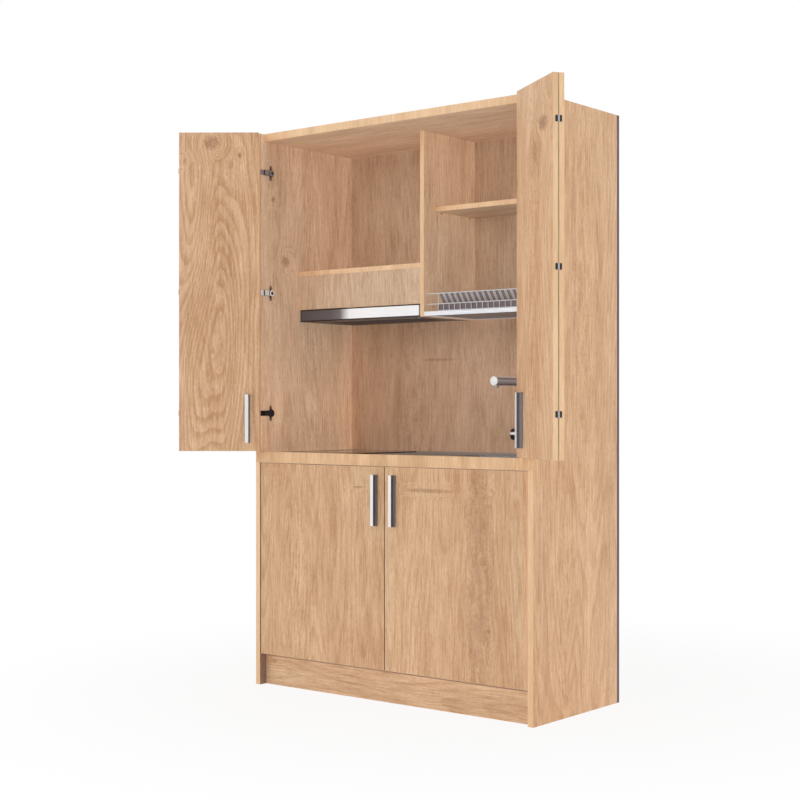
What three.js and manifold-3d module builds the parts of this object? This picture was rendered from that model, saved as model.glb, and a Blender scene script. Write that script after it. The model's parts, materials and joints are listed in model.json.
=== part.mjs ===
// Wardrobe kitchenette: an oak-faced tall cabinet that holds a steel worktop with a sink and a hob,
// a pull-out extractor hood, a dish drainer and shelves. Two pairs of folding doors close the upper part
// and two hinged doors close the lower part.
//
// Millimetres, +Z up, +X to the right seen from the front, +Y to the wall.
// The origin is on the floor, at the middle of the cabinet's rear face.
// The folding doors are modelled as they stand open, folded back to back.

import * as THREE from 'three';
import { mergeVertices } from 'three/addons/utils/BufferGeometryUtils.js';
import Module from 'manifold-3d';

// ---------------------------------------------------------------------------------------------------
// Driving dimensions
// ---------------------------------------------------------------------------------------------------

// Carcass
const cabinetWidth = 1250;
const cabinetHeight = 2070;
const sideDepth = 530; // from a side panel's front edge to the back panel
const sideThickness = 22;
const backThickness = 15;
const topThickness = 28;
const boardThickness = 18; // shelves, dividers and the bottom panel
const plinthHeight = 117;
const plinthThickness = 16;
const plinthSetback = 33; // behind the front plane

// Front rail and worktop level
const railHeight = 40;
const railThickness = 20;
const railTopLevel = 875;
const worktopDrop = 7; // the steel surface lies this far below the rail's top

// Clearances
const fitGap = 0.3; // between pieces that touch or turn against each other
const doorStopGap = 2; // from a closed door's back to what is behind it
const doorReveal = 3; // above and below a closed door

// Upper folding doors
const doorThickness = 18;
const upperSideGap = 1.5; // between a closed outer leaf and the side panel
const foldGap = 3; // between the two leaves of a pair when flat
const meetingGap = 3; // between the two pairs when closed
const backToBackGap = 2; // between the two leaves of a pair when folded
const leftOpenAngle = 141.5;
const rightOpenAngle = 146;
const upperPivotOffset = 0.3; // from the side panel's inner face to the line about which the leaf turns

// Lower doors
const lowerSideGap = 4;
const lowerMeetingGap = 3;
const lowerPivotOffset = 2;
const lowerBottomLap = 1; // the doors' lower edge stands this far above the plinth

// Handles: a flat grip carried on a web of the same length, which stands out past the grip on the right
const handleLength = 180;
const handleWidth = 13;
const handleProjection = 22;
const gripThickness = 10;
const webWidth = 11;
const webStep = 4; // how far the web stands out past the grip
const upperHandleEdgeDistance = 44; // from a leaf's free edge to the grip's middle
const lowerHandleEdgeDistance = 39; // from a lower door's free edge to the grip's middle
const upperHandleRise = 31; // from the leaf's lower edge to the handle
const lowerHandleDrop = 28; // from the lower door's upper edge to the handle

// Fold hinges in the leaves' edges
const foldHingeHeight = 20;
const foldHingeSpan = 22; // across both leaves when folded
const knuckleRadius = 3.5;
const foldPlateThickness = 0.9;
const upperHingeInset = 141; // from a leaf's end to the middle of its outer hinge

// Concealed hinges on the side panels
const hingeArmHeight = 20;
const hingeArmProud = 8;
const hingeBossRadius = 14;
const hingeBossProud = 10;
const hingeWingHeight = 58;
const hingeWingWidth = 13;
const hingeWingProud = 3;
const hingeBossSetback = 37; // from the arm's front end to the middle of the plate
const lowerHingeInset = 107; // from a lower door's end to the middle of its hinge
const cupRadius = 17.5;
const cupDepth = 12.5;
const cupEdgeDistance = 22.5;

// Inner fittings of the upper part
const innerSetback = 215; // the hood, drainer and divider stand this far behind the front plane
const nicheTopLevel = 1370;
const hoodFrontHeight = 46;
const hoodPanelHeight = 129;
const rightShelfDrop = 288; // from the top panel's underside to the shelf's underside
const rightShelfSetback = 280;

// Lower part
const lowerShelfLevel = 440; // underside
const lowerShelfSetback = 40;

// Steel worktop with its bowl
const steelThickness = 2;
const rimHeight = 4;
const rimWidth = 8;
const bowlWidth = 400;
const bowlLength = 340;
const bowlDepth = 160;
const bowlCorner = 60;
const bowlSideMargin = 103; // from the right side panel's inner face to the bowl
const bowlFrontMargin = 60; // from the worktop's front edge to the bowl
const bowlFlange = 14; // the rim by which the bowl is welded under the worktop
const ribCount = 7;
const ribPitch = 36;
const ribWidth = 10;
const ribHeight = 1.5;
const ribLength = 360;
const drainRadius = 42;
const shankHoleRadius = 17;

// Hob
const hobWidth = 290;
const hobLength = 440;
const hobGlassThickness = 4;
const hobCutMargin = 12; // how far the glass laps over the cut-out on each side
const hobBodyHeight = 48;
const hobBodyGap = 0.5;
const hobSideMargin = 68; // from the left side panel's inner face to the glass

// Drain and trap
const plugRadius = 46;
const plugThickness = 3;
const plugSpigotRadius = 36;
const plugSpigotDepth = 9;
const plugGripRadius = 8;
const plugGripHeight = 12;
const trapFlangeRadius = 50;
const trapFlangeHeight = 16;
const trapPocketRadius = 39;
const trapPocketDepth = 12;
const tailpieceRadius = 20;
const tailpieceLength = 90;
const bottleRadius = 36;
const bottleHeight = 110;
const wasteDrop = 25; // from the bottle's top to the waste pipe's axis
const wasteRadius = 20;

// Mixer tap
const tapOffset = 11; // to the left of the bowl's centre line
const tapSetback = 60; // from the back panel to the tap's axis
const tapBaseRadius = 27;
const tapBaseHeight = 6;
const tapBodyRadius = 23;
const tapBodyHeight = 122;
const tapShankRadius = 16.5;
const tapShankLength = 60;
const spoutRadius = 16.5;
const spoutLevel = 266; // from the steel surface to the spout's axis
const spoutReach = 216;
const spoutAngle = 0;
const aeratorRadius = 11;
const aeratorLength = 9;
const aeratorInset = 22;
const knobLevel = 75; // from the steel surface to the knob's axis
const knobRadius = 22;
const knobLength = 26;
const knobNeckRadius = 15;
const knobNeckLength = 17;

// Hood
const hoodSheet = 2;
const visorSetback = 7; // behind the oak panel's face
const visorThickness = 18;
const visorTrayLevel = 21; // above the hood's underside
const visorTrayThickness = 4;
const visorTrayDepth = 215;
const visorSideMargin = 12;
const visorSlotGap = 2;
const motorBoxWidth = 440;
const motorBoxHeight = 118;
const filterWidth = 480;
const filterLength = 200;
const filterThickness = 8;
const filterRearMargin = 35;
const lampWidth = 300;
const lampLength = 28;
const lampThickness = 8;
const lampFrontMargin = 18;
const buttonRadius = 6;
const buttonLength = 9;
const buttonProud = 3;
const buttonPitch = 30;
const buttonEdgeDistance = 50;
const motorRadius = 55;
const motorHeight = 42;
const shaftRadius = 5;
const shaftLength = 66;
const fanRadius = 88;
const fanHeight = 52;
const fanBladeCount = 16;
const fanBladeLength = 16;
const fanBladeThickness = 2;
const fanPlateThickness = 3;
const fanHubRadius = 14;

// Dish drainer
const drainerRailHeight = 16;
const drainerRailWidth = 12;
const trayLipThickness = 12;
const drainerLedgeWidth = 9;
const drainerLedgeThickness = 2;
const traySheet = 2;
const trayWallHeight = 11;
const wire = 3; // the dividers' thickness
const rodRadius = 2.2; // the long wires
const rodSides = 8;
const rackCrest = 5; // front to back of a divider's flat top
const rackSlots = 20;
const rackSideMargin = 53; // from the panel beside it to the rack's end divider
const rackFrontSetback = 16; // behind the tray's front face
const rackHeight = 62; // from the base wires to the top wire's axis
const rackMidHeight = 24;
const rackRidgeDepth = 45; // front to back of the sloped dividers
const rackRidgeFoot = 8; // height of the foot of the slope
const rackDepth = 270;

// Roundness
const fineSides = 32;
const coarseSides = 20;
const cornerSegments = 6;

// ---------------------------------------------------------------------------------------------------
// Positions worked out from the driving dimensions
// ---------------------------------------------------------------------------------------------------

const frontY = -(sideDepth + backThickness);
const backY = -backThickness; // the back panel's inner face
const halfWidth = cabinetWidth / 2;
const innerHalf = halfWidth - sideThickness;
const halfBoard = boardThickness / 2;
const behindDoorsY = frontY + doorThickness + doorStopGap;
const fittingsY = frontY + innerSetback;
const topUnderside = cabinetHeight - topThickness;
const rightShelfLevel = topUnderside - rightShelfDrop;
const bottomPanelTop = plinthHeight + boardThickness;
const railBottomLevel = railTopLevel - railHeight;
const steelLevel = railTopLevel - worktopDrop;
const worktopFrontY = frontY + railThickness;
const hoodPanelLevel = nicheTopLevel + 1 + hoodFrontHeight + 1;
const hoodShelfLevel = hoodPanelLevel + hoodPanelHeight;

const upperDoorBottom = railTopLevel + doorReveal;
const upperDoorTop = cabinetHeight - doorReveal;
const leafWidth = (2 * innerHalf - 2 * upperSideGap - 2 * foldGap - meetingGap) / 4;
const lowerDoorBottom = plinthHeight + lowerBottomLap;
const lowerDoorTop = railBottomLevel - doorReveal;
const lowerDoorWidth = (2 * innerHalf - 2 * lowerSideGap - lowerMeetingGap) / 2;
const upperHingeLevels = {
  top: upperDoorTop - upperHingeInset,
  middle: (upperDoorBottom + upperDoorTop) / 2,
  bottom: upperDoorBottom + upperHingeInset,
};
const lowerHingeLevels = {
  top: lowerDoorTop - lowerHingeInset,
  bottom: lowerDoorBottom + lowerHingeInset,
};

// ---------------------------------------------------------------------------------------------------
// Finishes
// ---------------------------------------------------------------------------------------------------

function finish(color, roughness, metalness) {
  return new THREE.MeshStandardMaterial({ color, roughness, metalness });
}

const oak = finish(0xd2a981, 0.6, 0);
const oakEdge = finish(0xe6c49a, 0.6, 0);
const satinSteel = finish(0xb9b9b7, 0.35, 1);
const brightSteel = finish(0xd8d8d8, 0.2, 1);
const chrome = finish(0xe8e8e8, 0.06, 1);
const aluminium = finish(0xd5d5d2, 0.4, 1);
const blackMetal = finish(0x1c1a1a, 0.45, 0.6);
const darkGlass = finish(0x101012, 0.08, 0);
const greyPlastic = finish(0x8a8a8a, 0.5, 0);
const blackPlastic = finish(0x222222, 0.5, 0);
const whitePlastic = finish(0xf0f0ec, 0.45, 0);
const opal = finish(0xf6f4ea, 0.3, 0);

// ---------------------------------------------------------------------------------------------------
// Shape helpers
// ---------------------------------------------------------------------------------------------------

const wasm = await Module();
wasm.setup();

/** A box between two corners, given as pairs of limits in any order. */
function block([x0, x1], [y0, y1], [z0, z1]) {
  const box = new THREE.BoxGeometry(Math.abs(x1 - x0), Math.abs(y1 - y0), Math.abs(z1 - z0));
  return box.translate((x0 + x1) / 2, (y0 + y1) / 2, (z0 + z1) / 2);
}

/** A round bar along Z, between two levels. */
function post(x, y, [z0, z1], radius, sides = fineSides) {
  const bar = new THREE.CylinderGeometry(radius, radius, z1 - z0, sides);
  return bar.rotateX(Math.PI / 2).translate(x, y, (z0 + z1) / 2);
}

/** A round bar along X, between two positions. */
function crossBar([x0, x1], y, z, radius, sides = fineSides) {
  const bar = new THREE.CylinderGeometry(radius, radius, Math.abs(x1 - x0), sides);
  return bar.rotateZ(Math.PI / 2).translate((x0 + x1) / 2, y, z);
}

/** A round bar along Y, between two positions. */
function depthBar(x, [y0, y1], z, radius, sides = fineSides) {
  const bar = new THREE.CylinderGeometry(radius, radius, y1 - y0, sides);
  return bar.translate(x, (y0 + y1) / 2, z);
}

/** A prism with rounded corners, standing along Z. */
function roundedPrism([x0, x1], [y0, y1], [z0, z1], corner) {
  const outline = new THREE.Shape();
  outline.moveTo(x0 + corner, y0);
  outline.lineTo(x1 - corner, y0);
  outline.absarc(x1 - corner, y0 + corner, corner, -Math.PI / 2, 0);
  outline.lineTo(x1, y1 - corner);
  outline.absarc(x1 - corner, y1 - corner, corner, 0, Math.PI / 2);
  outline.lineTo(x0 + corner, y1);
  outline.absarc(x0 + corner, y1 - corner, corner, Math.PI / 2, Math.PI);
  outline.lineTo(x0, y0 + corner);
  outline.absarc(x0 + corner, y0 + corner, corner, Math.PI, 1.5 * Math.PI);
  const prism = new THREE.ExtrudeGeometry(outline, {
    depth: z1 - z0,
    bevelEnabled: false,
    curveSegments: cornerSegments,
  });
  return prism.translate(0, 0, z0);
}

/** The solid that a closed three.js geometry bounds. */
function solidOf(geometry) {
  const bare = geometry.clone();
  bare.deleteAttribute('normal');
  bare.deleteAttribute('uv');
  const merged = mergeVertices(bare);
  const mesh = new wasm.Mesh({
    numProp: 3,
    vertProperties: merged.attributes.position.array,
    triVerts: Uint32Array.from(merged.index.array),
  });
  return new wasm.Manifold(mesh);
}

/** The three.js geometry of a solid. */
function geometryOf(solid) {
  const mesh = solid.getMesh();
  const geometry = new THREE.BufferGeometry();
  geometry.setAttribute('position', new THREE.BufferAttribute(mesh.vertProperties, 3));
  geometry.setIndex(new THREE.BufferAttribute(mesh.triVerts, 1));
  geometry.computeVertexNormals();
  return geometry;
}

const joined = (geometries) => geometries.map(solidOf).reduce((whole, next) => whole.add(next));

/** Joins some geometries and cuts others out of them. */
function shaped(adds, cuts = []) {
  let solid = joined(adds);
  if (cuts.length > 0) solid = solid.subtract(joined(cuts));
  return geometryOf(solid);
}

/** A named piece; it is added to the given group. */
function piece(parent, name, geometry, material) {
  const mesh = new THREE.Mesh(geometry, material);
  mesh.name = name;
  parent.add(mesh);
  return mesh;
}

const kitchenette = new THREE.Group();

// ---------------------------------------------------------------------------------------------------
// Carcass
// ---------------------------------------------------------------------------------------------------

function addCarcass() {
  const bay = [-innerHalf, innerHalf];
  const leftBay = [-innerHalf, -halfBoard];
  const rightBay = [halfBoard, innerHalf];
  const fullHeight = [0, cabinetHeight];

  // The front rail lies in a notch of each side panel.
  const notchX = [-cabinetWidth, cabinetWidth];
  const railNotch = block(notchX, [frontY - 1, worktopFrontY], [railBottomLevel, railTopLevel]);
  for (const [name, hand] of [['left_side_panel', -1], ['right_side_panel', 1]]) {
    const board = block([hand * innerHalf, hand * halfWidth], [frontY, backY], fullHeight);
    piece(kitchenette, name, shaped([board], [railNotch]), oak);
  }
  piece(kitchenette, 'back_panel', block([-halfWidth, halfWidth], [backY, 0], fullHeight), oak);
  piece(kitchenette, 'top_panel', block(bay, [behindDoorsY, backY], [topUnderside, cabinetHeight]), oak);
  piece(kitchenette, 'bottom_panel', block(bay, [behindDoorsY, backY], [plinthHeight, bottomPanelTop]), oak);

  const plinthY = frontY + plinthSetback;
  piece(kitchenette, 'plinth', block(bay, [plinthY, plinthY + plinthThickness], [0, plinthHeight]), oak);
  piece(
    kitchenette,
    'front_rail',
    block([-halfWidth, halfWidth], [frontY, worktopFrontY], [railBottomLevel, railTopLevel]),
    oakEdge,
  );

  const dividerX = [-halfBoard, halfBoard];
  const lowerDivider = block(dividerX, [behindDoorsY, backY], [bottomPanelTop, railBottomLevel]);
  const upperDivider = block(dividerX, [fittingsY, backY], [nicheTopLevel, topUnderside]);
  piece(kitchenette, 'lower_divider', lowerDivider, oak);
  piece(kitchenette, 'upper_divider', upperDivider, oak);
  piece(
    kitchenette,
    'lower_shelf',
    block(leftBay, [frontY + lowerShelfSetback, backY], [lowerShelfLevel, lowerShelfLevel + boardThickness]),
    oak,
  );
  piece(
    kitchenette,
    'right_shelf',
    block(rightBay, [frontY + rightShelfSetback, backY], [rightShelfLevel, rightShelfLevel + boardThickness]),
    oak,
  );
  piece(
    kitchenette,
    'hood_shelf',
    block(leftBay, [fittingsY, backY], [hoodShelfLevel, hoodShelfLevel + boardThickness]),
    oak,
  );
  piece(
    kitchenette,
    'hood_front_panel',
    block(leftBay, [fittingsY, fittingsY + boardThickness], [hoodPanelLevel, hoodShelfLevel]),
    oak,
  );
}

// ---------------------------------------------------------------------------------------------------
// Steel worktop, hob and sink
// ---------------------------------------------------------------------------------------------------

const bowlFrontY = worktopFrontY + bowlFrontMargin;
const bowlX = [innerHalf - bowlSideMargin - bowlWidth, innerHalf - bowlSideMargin];
const bowlCentreX = (bowlX[0] + bowlX[1]) / 2;
const bowlY = [bowlFrontY, bowlFrontY + bowlLength];
const bowlCentreY = bowlFrontY + bowlLength / 2;
const bowlFloor = steelLevel - bowlDepth;
const worktopCentreY = (worktopFrontY + backY) / 2;
const hobX = [-innerHalf + hobSideMargin, -innerHalf + hobSideMargin + hobWidth];
const hobY = [worktopCentreY - hobLength / 2, worktopCentreY + hobLength / 2];
const ribFieldCentreX = (hobX[1] + bowlX[0]) / 2;
const tapX = bowlCentreX - tapOffset;
const tapY = backY - tapSetback;
const grown = ([low, high], by) => [low - by, high + by];

function addWorktop() {
  const x = [-innerHalf, innerHalf];
  const y = [worktopFrontY, backY];
  const sheetUnderside = steelLevel - steelThickness;
  const folded = shaped(
    [block(x, y, [railBottomLevel, steelLevel])],
    [block(grown(x, -steelThickness), grown(y, -steelThickness), [railBottomLevel - 1, sheetUnderside])],
  );
  const rim = shaped(
    [block(x, y, [steelLevel - 1, steelLevel + rimHeight])],
    [block(grown(x, -rimWidth), grown(y, -rimWidth), [steelLevel - 2, steelLevel + rimHeight + 1])],
  );
  const ribs = [];
  for (let i = 0; i < ribCount; i += 1) {
    const ribX = ribFieldCentreX + (i - (ribCount - 1) / 2) * ribPitch;
    ribs.push(
      block(
        [ribX - ribWidth / 2, ribX + ribWidth / 2],
        [worktopCentreY - ribLength / 2, worktopCentreY + ribLength / 2],
        [steelLevel - 1, steelLevel + ribHeight],
      ),
    );
  }
  const bowlCut = roundedPrism(bowlX, bowlY, [sheetUnderside - 1, steelLevel + 1], bowlCorner);
  const shankHole = post(tapX, tapY, [sheetUnderside - 1, steelLevel + 1], shankHoleRadius);
  const hobCut = block(
    grown(hobX, -hobCutMargin),
    grown(hobY, -hobCutMargin),
    [sheetUnderside - 1, steelLevel + 1],
  );
  const steel = shaped([folded, rim, ...ribs], [bowlCut, shankHole, hobCut]);
  piece(kitchenette, 'steel_worktop', steel, satinSteel);
}

/** The pressed bowl, whose flange is welded to the worktop's underside round the cut-out. */
function addBowl() {
  const flangeTop = steelLevel - steelThickness - fitGap;
  const flange = roundedPrism(
    grown(bowlX, bowlFlange),
    grown(bowlY, bowlFlange),
    [flangeTop - steelThickness, flangeTop],
    bowlCorner + bowlFlange,
  );
  const outside = roundedPrism(
    grown(bowlX, steelThickness),
    grown(bowlY, steelThickness),
    [bowlFloor - steelThickness, flangeTop - 1],
    bowlCorner + steelThickness,
  );
  const inside = roundedPrism(bowlX, bowlY, [bowlFloor, flangeTop + 1], bowlCorner);
  const drainHole = post(bowlCentreX, bowlCentreY, [bowlFloor - 10, bowlFloor + 10], drainRadius);
  piece(kitchenette, 'sink_bowl', shaped([flange, outside], [inside, drainHole]), satinSteel);
}

function addHob() {
  const glassZ = [steelLevel, steelLevel + hobGlassThickness];
  piece(kitchenette, 'hob_glass', block(hobX, hobY, glassZ), darkGlass);
  const bodyMargin = -hobCutMargin - hobBodyGap;
  piece(
    kitchenette,
    'hob_body',
    block(grown(hobX, bodyMargin), grown(hobY, bodyMargin), [steelLevel - hobBodyHeight, steelLevel]),
    blackMetal,
  );
}

function addDrain() {
  const seat = bowlFloor + fitGap;
  const gripTop = seat + plugThickness + plugGripHeight;
  const plug = shaped([
    post(bowlCentreX, bowlCentreY, [seat, seat + plugThickness], plugRadius),
    post(bowlCentreX, bowlCentreY, [seat - plugSpigotDepth, seat + 1], plugSpigotRadius),
    post(bowlCentreX, bowlCentreY, [seat + 1, gripTop], plugGripRadius, coarseSides),
  ]);
  piece(kitchenette, 'sink_strainer', plug, brightSteel);

  const flangeTop = bowlFloor - steelThickness;
  const flangeBottom = flangeTop - trapFlangeHeight;
  const bottleTop = flangeBottom - tailpieceLength;
  const wasteLevel = bottleTop - wasteDrop;
  const trap = shaped(
    [
      post(bowlCentreX, bowlCentreY, [flangeBottom, flangeTop], trapFlangeRadius),
      post(bowlCentreX, bowlCentreY, [bottleTop - 1, flangeBottom + 1], tailpieceRadius, coarseSides),
      post(bowlCentreX, bowlCentreY, [bottleTop - bottleHeight, bottleTop], bottleRadius),
      depthBar(bowlCentreX, [bowlCentreY, backY], wasteLevel, wasteRadius, coarseSides),
    ],
    [post(bowlCentreX, bowlCentreY, [flangeTop - trapPocketDepth, flangeTop + 1], trapPocketRadius)],
  );
  piece(kitchenette, 'sink_trap', trap, whitePlastic);
}

function addTap() {
  const bodyTop = steelLevel + tapBodyHeight;
  const body = shaped([
    post(tapX, tapY, [steelLevel, steelLevel + tapBaseHeight], tapBaseRadius),
    post(tapX, tapY, [steelLevel + 1, bodyTop], tapBodyRadius),
    post(tapX, tapY, [steelLevel - tapShankLength, steelLevel + 2], tapShankRadius, coarseSides),
  ]);
  piece(kitchenette, 'tap_body', body, chrome);

  // The spout turns on the tap's body, so its group stands on the tap's axis.
  const spout = new THREE.Group();
  spout.position.set(tapX, tapY, 0);
  spout.rotation.z = THREE.MathUtils.degToRad(spoutAngle);
  kitchenette.add(spout);
  const axisLevel = steelLevel + spoutLevel;
  const elbow = new THREE.SphereGeometry(spoutRadius, fineSides, fineSides / 2).rotateX(Math.PI / 2);
  const aeratorY = aeratorInset - spoutReach;
  const aeratorBottom = axisLevel - spoutRadius - aeratorLength;
  const bent = shaped([
    post(0, 0, [bodyTop + fitGap, axisLevel], spoutRadius),
    elbow.translate(0, 0, axisLevel),
    depthBar(0, [-spoutReach, 0], axisLevel, spoutRadius),
    post(0, aeratorY, [aeratorBottom, axisLevel], aeratorRadius, coarseSides),
  ]);
  piece(spout, 'tap_spout', bent, chrome);

  const neckX = tapX - tapBodyRadius - fitGap;
  const knobX = neckX - knobNeckLength;
  const knobAxis = steelLevel + knobLevel;
  const knob = shaped([
    crossBar([knobX - 1, neckX], tapY, knobAxis, knobNeckRadius),
    crossBar([knobX - knobLength, knobX], tapY, knobAxis, knobRadius),
  ]);
  piece(kitchenette, 'tap_knob', knob, chrome);
}

// ---------------------------------------------------------------------------------------------------
// Extractor hood
// ---------------------------------------------------------------------------------------------------

const hoodX = [-innerHalf + fitGap, -halfBoard - fitGap];
const hoodCentreX = (hoodX[0] + hoodX[1]) / 2;
const hoodBottom = nicheTopLevel + 1;
const hoodTop = hoodBottom + hoodFrontHeight;
const visorY = [fittingsY + visorSetback, fittingsY + visorSetback + visorThickness];
const hoodY = [visorY[1] + visorSlotGap, backY - fitGap];
const filterY = [hoodY[1] - filterRearMargin - filterLength, hoodY[1] - filterRearMargin];
const filterX = [hoodCentreX - filterWidth / 2, hoodCentreX + filterWidth / 2];
const lampX = [hoodCentreX - lampWidth / 2, hoodCentreX + lampWidth / 2];
const lampY = [hoodY[0] + lampFrontMargin, hoodY[0] + lampFrontMargin + lampLength];
const buttonY = (lampY[0] + lampY[1]) / 2;
const buttonXs = {
  fan_button: hoodX[1] - buttonEdgeDistance,
  lamp_button: hoodX[1] - buttonEdgeDistance - buttonPitch,
};
const motorBoxX = [hoodCentreX - motorBoxWidth / 2, hoodCentreX + motorBoxWidth / 2];
const motorBoxTop = hoodTop + motorBoxHeight;
const fanY = (filterY[0] + filterY[1]) / 2;

function addHood() {
  const floorTop = hoodBottom + hoodSheet;
  const insideY = grown(hoodY, -hoodSheet);
  const panInside = block(grown(hoodX, -hoodSheet), insideY, [floorTop, hoodTop - hoodSheet]);
  const boxInside = block(grown(motorBoxX, -hoodSheet), insideY, [floorTop, motorBoxTop - hoodSheet]);
  const trayZ = [hoodBottom + visorTrayLevel, hoodBottom + visorTrayLevel + visorTrayThickness];
  const trayX = grown(hoodX, -visorSideMargin);
  const slotY = [hoodY[0] - 1, hoodY[0] + hoodSheet + 1];
  const traySlot = block(grown(trayX, visorSlotGap), slotY, grown(trayZ, visorSlotGap));
  const floorZ = [hoodBottom - 1, floorTop + 1];
  const casing = shaped(
    [block(hoodX, hoodY, [hoodBottom, hoodTop]), block(motorBoxX, hoodY, [hoodTop - 1, motorBoxTop])],
    [
      panInside,
      boxInside,
      traySlot,
      block(grown(filterX, fitGap), grown(filterY, fitGap), floorZ),
      block(grown(lampX, fitGap), grown(lampY, fitGap), floorZ),
      ...Object.values(buttonXs).map((x) => post(x, buttonY, floorZ, buttonRadius + fitGap, coarseSides)),
    ],
  );
  piece(kitchenette, 'hood_body', casing, satinSteel);

  const visor = shaped([
    block(hoodX, visorY, [hoodBottom, hoodTop]),
    block(trayX, [visorY[1] - 1, visorY[1] + visorTrayDepth], trayZ),
  ]);
  piece(kitchenette, 'hood_visor', visor, brightSteel);
  const filterZ = [hoodBottom, hoodBottom + filterThickness];
  piece(kitchenette, 'grease_filter', block(filterX, filterY, filterZ), aluminium);
  piece(kitchenette, 'hood_lamp', block(lampX, lampY, [hoodBottom, hoodBottom + lampThickness]), opal);
  for (const [name, x] of Object.entries(buttonXs)) {
    const buttonZ = [hoodBottom - buttonProud, hoodBottom - buttonProud + buttonLength];
    piece(kitchenette, name, post(x, buttonY, buttonZ, buttonRadius, coarseSides), greyPlastic);
  }
}

function addFan() {
  const ceiling = motorBoxTop - hoodSheet;
  const motorBottom = ceiling - motorHeight;
  const shaftBottom = motorBottom - shaftLength;
  const motor = shaped([
    post(hoodCentreX, fanY, [motorBottom, ceiling], motorRadius),
    post(hoodCentreX, fanY, [shaftBottom, motorBottom + 1], shaftRadius, coarseSides),
  ]);
  piece(kitchenette, 'hood_motor', motor, blackPlastic);

  const fanTop = motorBottom - 2 * fitGap;
  const fanBottom = fanTop - fanHeight;
  const blades = [];
  for (let i = 0; i < fanBladeCount; i += 1) {
    const blade = block(
      [fanRadius - fanBladeLength, fanRadius],
      [-fanBladeThickness / 2, fanBladeThickness / 2],
      [fanBottom + 1, fanTop - 1],
    );
    blade.rotateZ((i / fanBladeCount) * 2 * Math.PI).translate(hoodCentreX, fanY, 0);
    blades.push(blade);
  }
  const bladeInner = fanRadius - fanBladeLength;
  const lowerRing = shaped(
    [post(hoodCentreX, fanY, [fanBottom, fanBottom + fanPlateThickness], fanRadius + 1)],
    [post(hoodCentreX, fanY, [fanBottom - 1, fanBottom + fanPlateThickness + 1], bladeInner)],
  );
  const impeller = shaped(
    [
      post(hoodCentreX, fanY, [fanTop - fanPlateThickness, fanTop], fanRadius + 1),
      post(hoodCentreX, fanY, [fanBottom, fanTop], fanHubRadius, coarseSides),
      lowerRing,
      ...blades,
    ],
    [post(hoodCentreX, fanY, [shaftBottom - 1, fanTop + 1], shaftRadius + fitGap, coarseSides)],
  );
  piece(kitchenette, 'hood_fan', impeller, greyPlastic);
}

// ---------------------------------------------------------------------------------------------------
// Dish drainer
// ---------------------------------------------------------------------------------------------------

const drainerX = [halfBoard, innerHalf];
const drainerBottom = nicheTopLevel + 1;
const drainerTop = drainerBottom + drainerRailHeight;
const frameFrontY = fittingsY + trayLipThickness + fitGap;

function addDrainer() {
  const frameY = [frameFrontY, backY];
  const rails = shaped(
    [block(drainerX, frameY, [drainerBottom, drainerTop])],
    [
      block(
        grown(drainerX, -drainerRailWidth),
        [frameFrontY - 1, backY - drainerRailWidth],
        [drainerBottom + drainerLedgeThickness, drainerTop + 1],
      ),
      block(
        grown(drainerX, -drainerRailWidth - drainerLedgeWidth),
        [frameFrontY - 1, backY - drainerRailWidth - drainerLedgeWidth],
        [drainerBottom - 1, drainerTop + 1],
      ),
    ],
  );
  piece(kitchenette, 'drainer_frame', rails, aluminium);

  const trayFloor = drainerBottom + drainerLedgeThickness + fitGap;
  const trayX = grown(drainerX, -drainerRailWidth - fitGap);
  const trayY = [fittingsY + 1, backY - drainerRailWidth - fitGap];
  const lipY = [fittingsY, fittingsY + trayLipThickness];
  const lip = block(grown(drainerX, -fitGap), lipY, [drainerBottom, drainerTop]);
  const pan = shaped(
    [block(trayX, trayY, [trayFloor, trayFloor + trayWallHeight]), lip],
    [
      block(
        grown(trayX, -traySheet),
        [lipY[1], trayY[1] - traySheet],
        [trayFloor + traySheet, trayFloor + trayWallHeight + 1],
      ),
    ],
  );
  piece(kitchenette, 'drip_tray', pan, satinSteel);
}

/** A flat strip bent along points [y, z] of one upright plane, with mitred bends; it is centred on x. */
function bentStrip(x, points, width, thickness) {
  const directions = points.slice(1).map(([y, z], i) => {
    const [startY, startZ] = points[i];
    return new THREE.Vector2(y - startY, z - startZ).normalize();
  });
  const edge = (side) =>
    points.map(([y, z], i) => {
      const before = directions[Math.max(i - 1, 0)];
      const after = directions[Math.min(i, directions.length - 1)];
      const mitre = new THREE.Vector2(-before.y - after.y, before.x + after.x).normalize();
      const reach = (side * width) / 2 / (mitre.y * after.x - mitre.x * after.y);
      return new THREE.Vector2(y + mitre.x * reach, z + mitre.y * reach);
    });
  const outline = new THREE.Shape([...edge(1), ...edge(-1).reverse()]);
  const strip = new THREE.ExtrudeGeometry(outline, { depth: thickness, bevelEnabled: false });
  // The outline's x is the strip's y, its y is z and its depth is x.
  strip.applyMatrix4(new THREE.Matrix4().set(0, 0, 1, 0, 1, 0, 0, 0, 0, 1, 0, 0, 0, 0, 0, 1));
  return strip.translate(x - thickness / 2, 0, 0);
}

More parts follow.
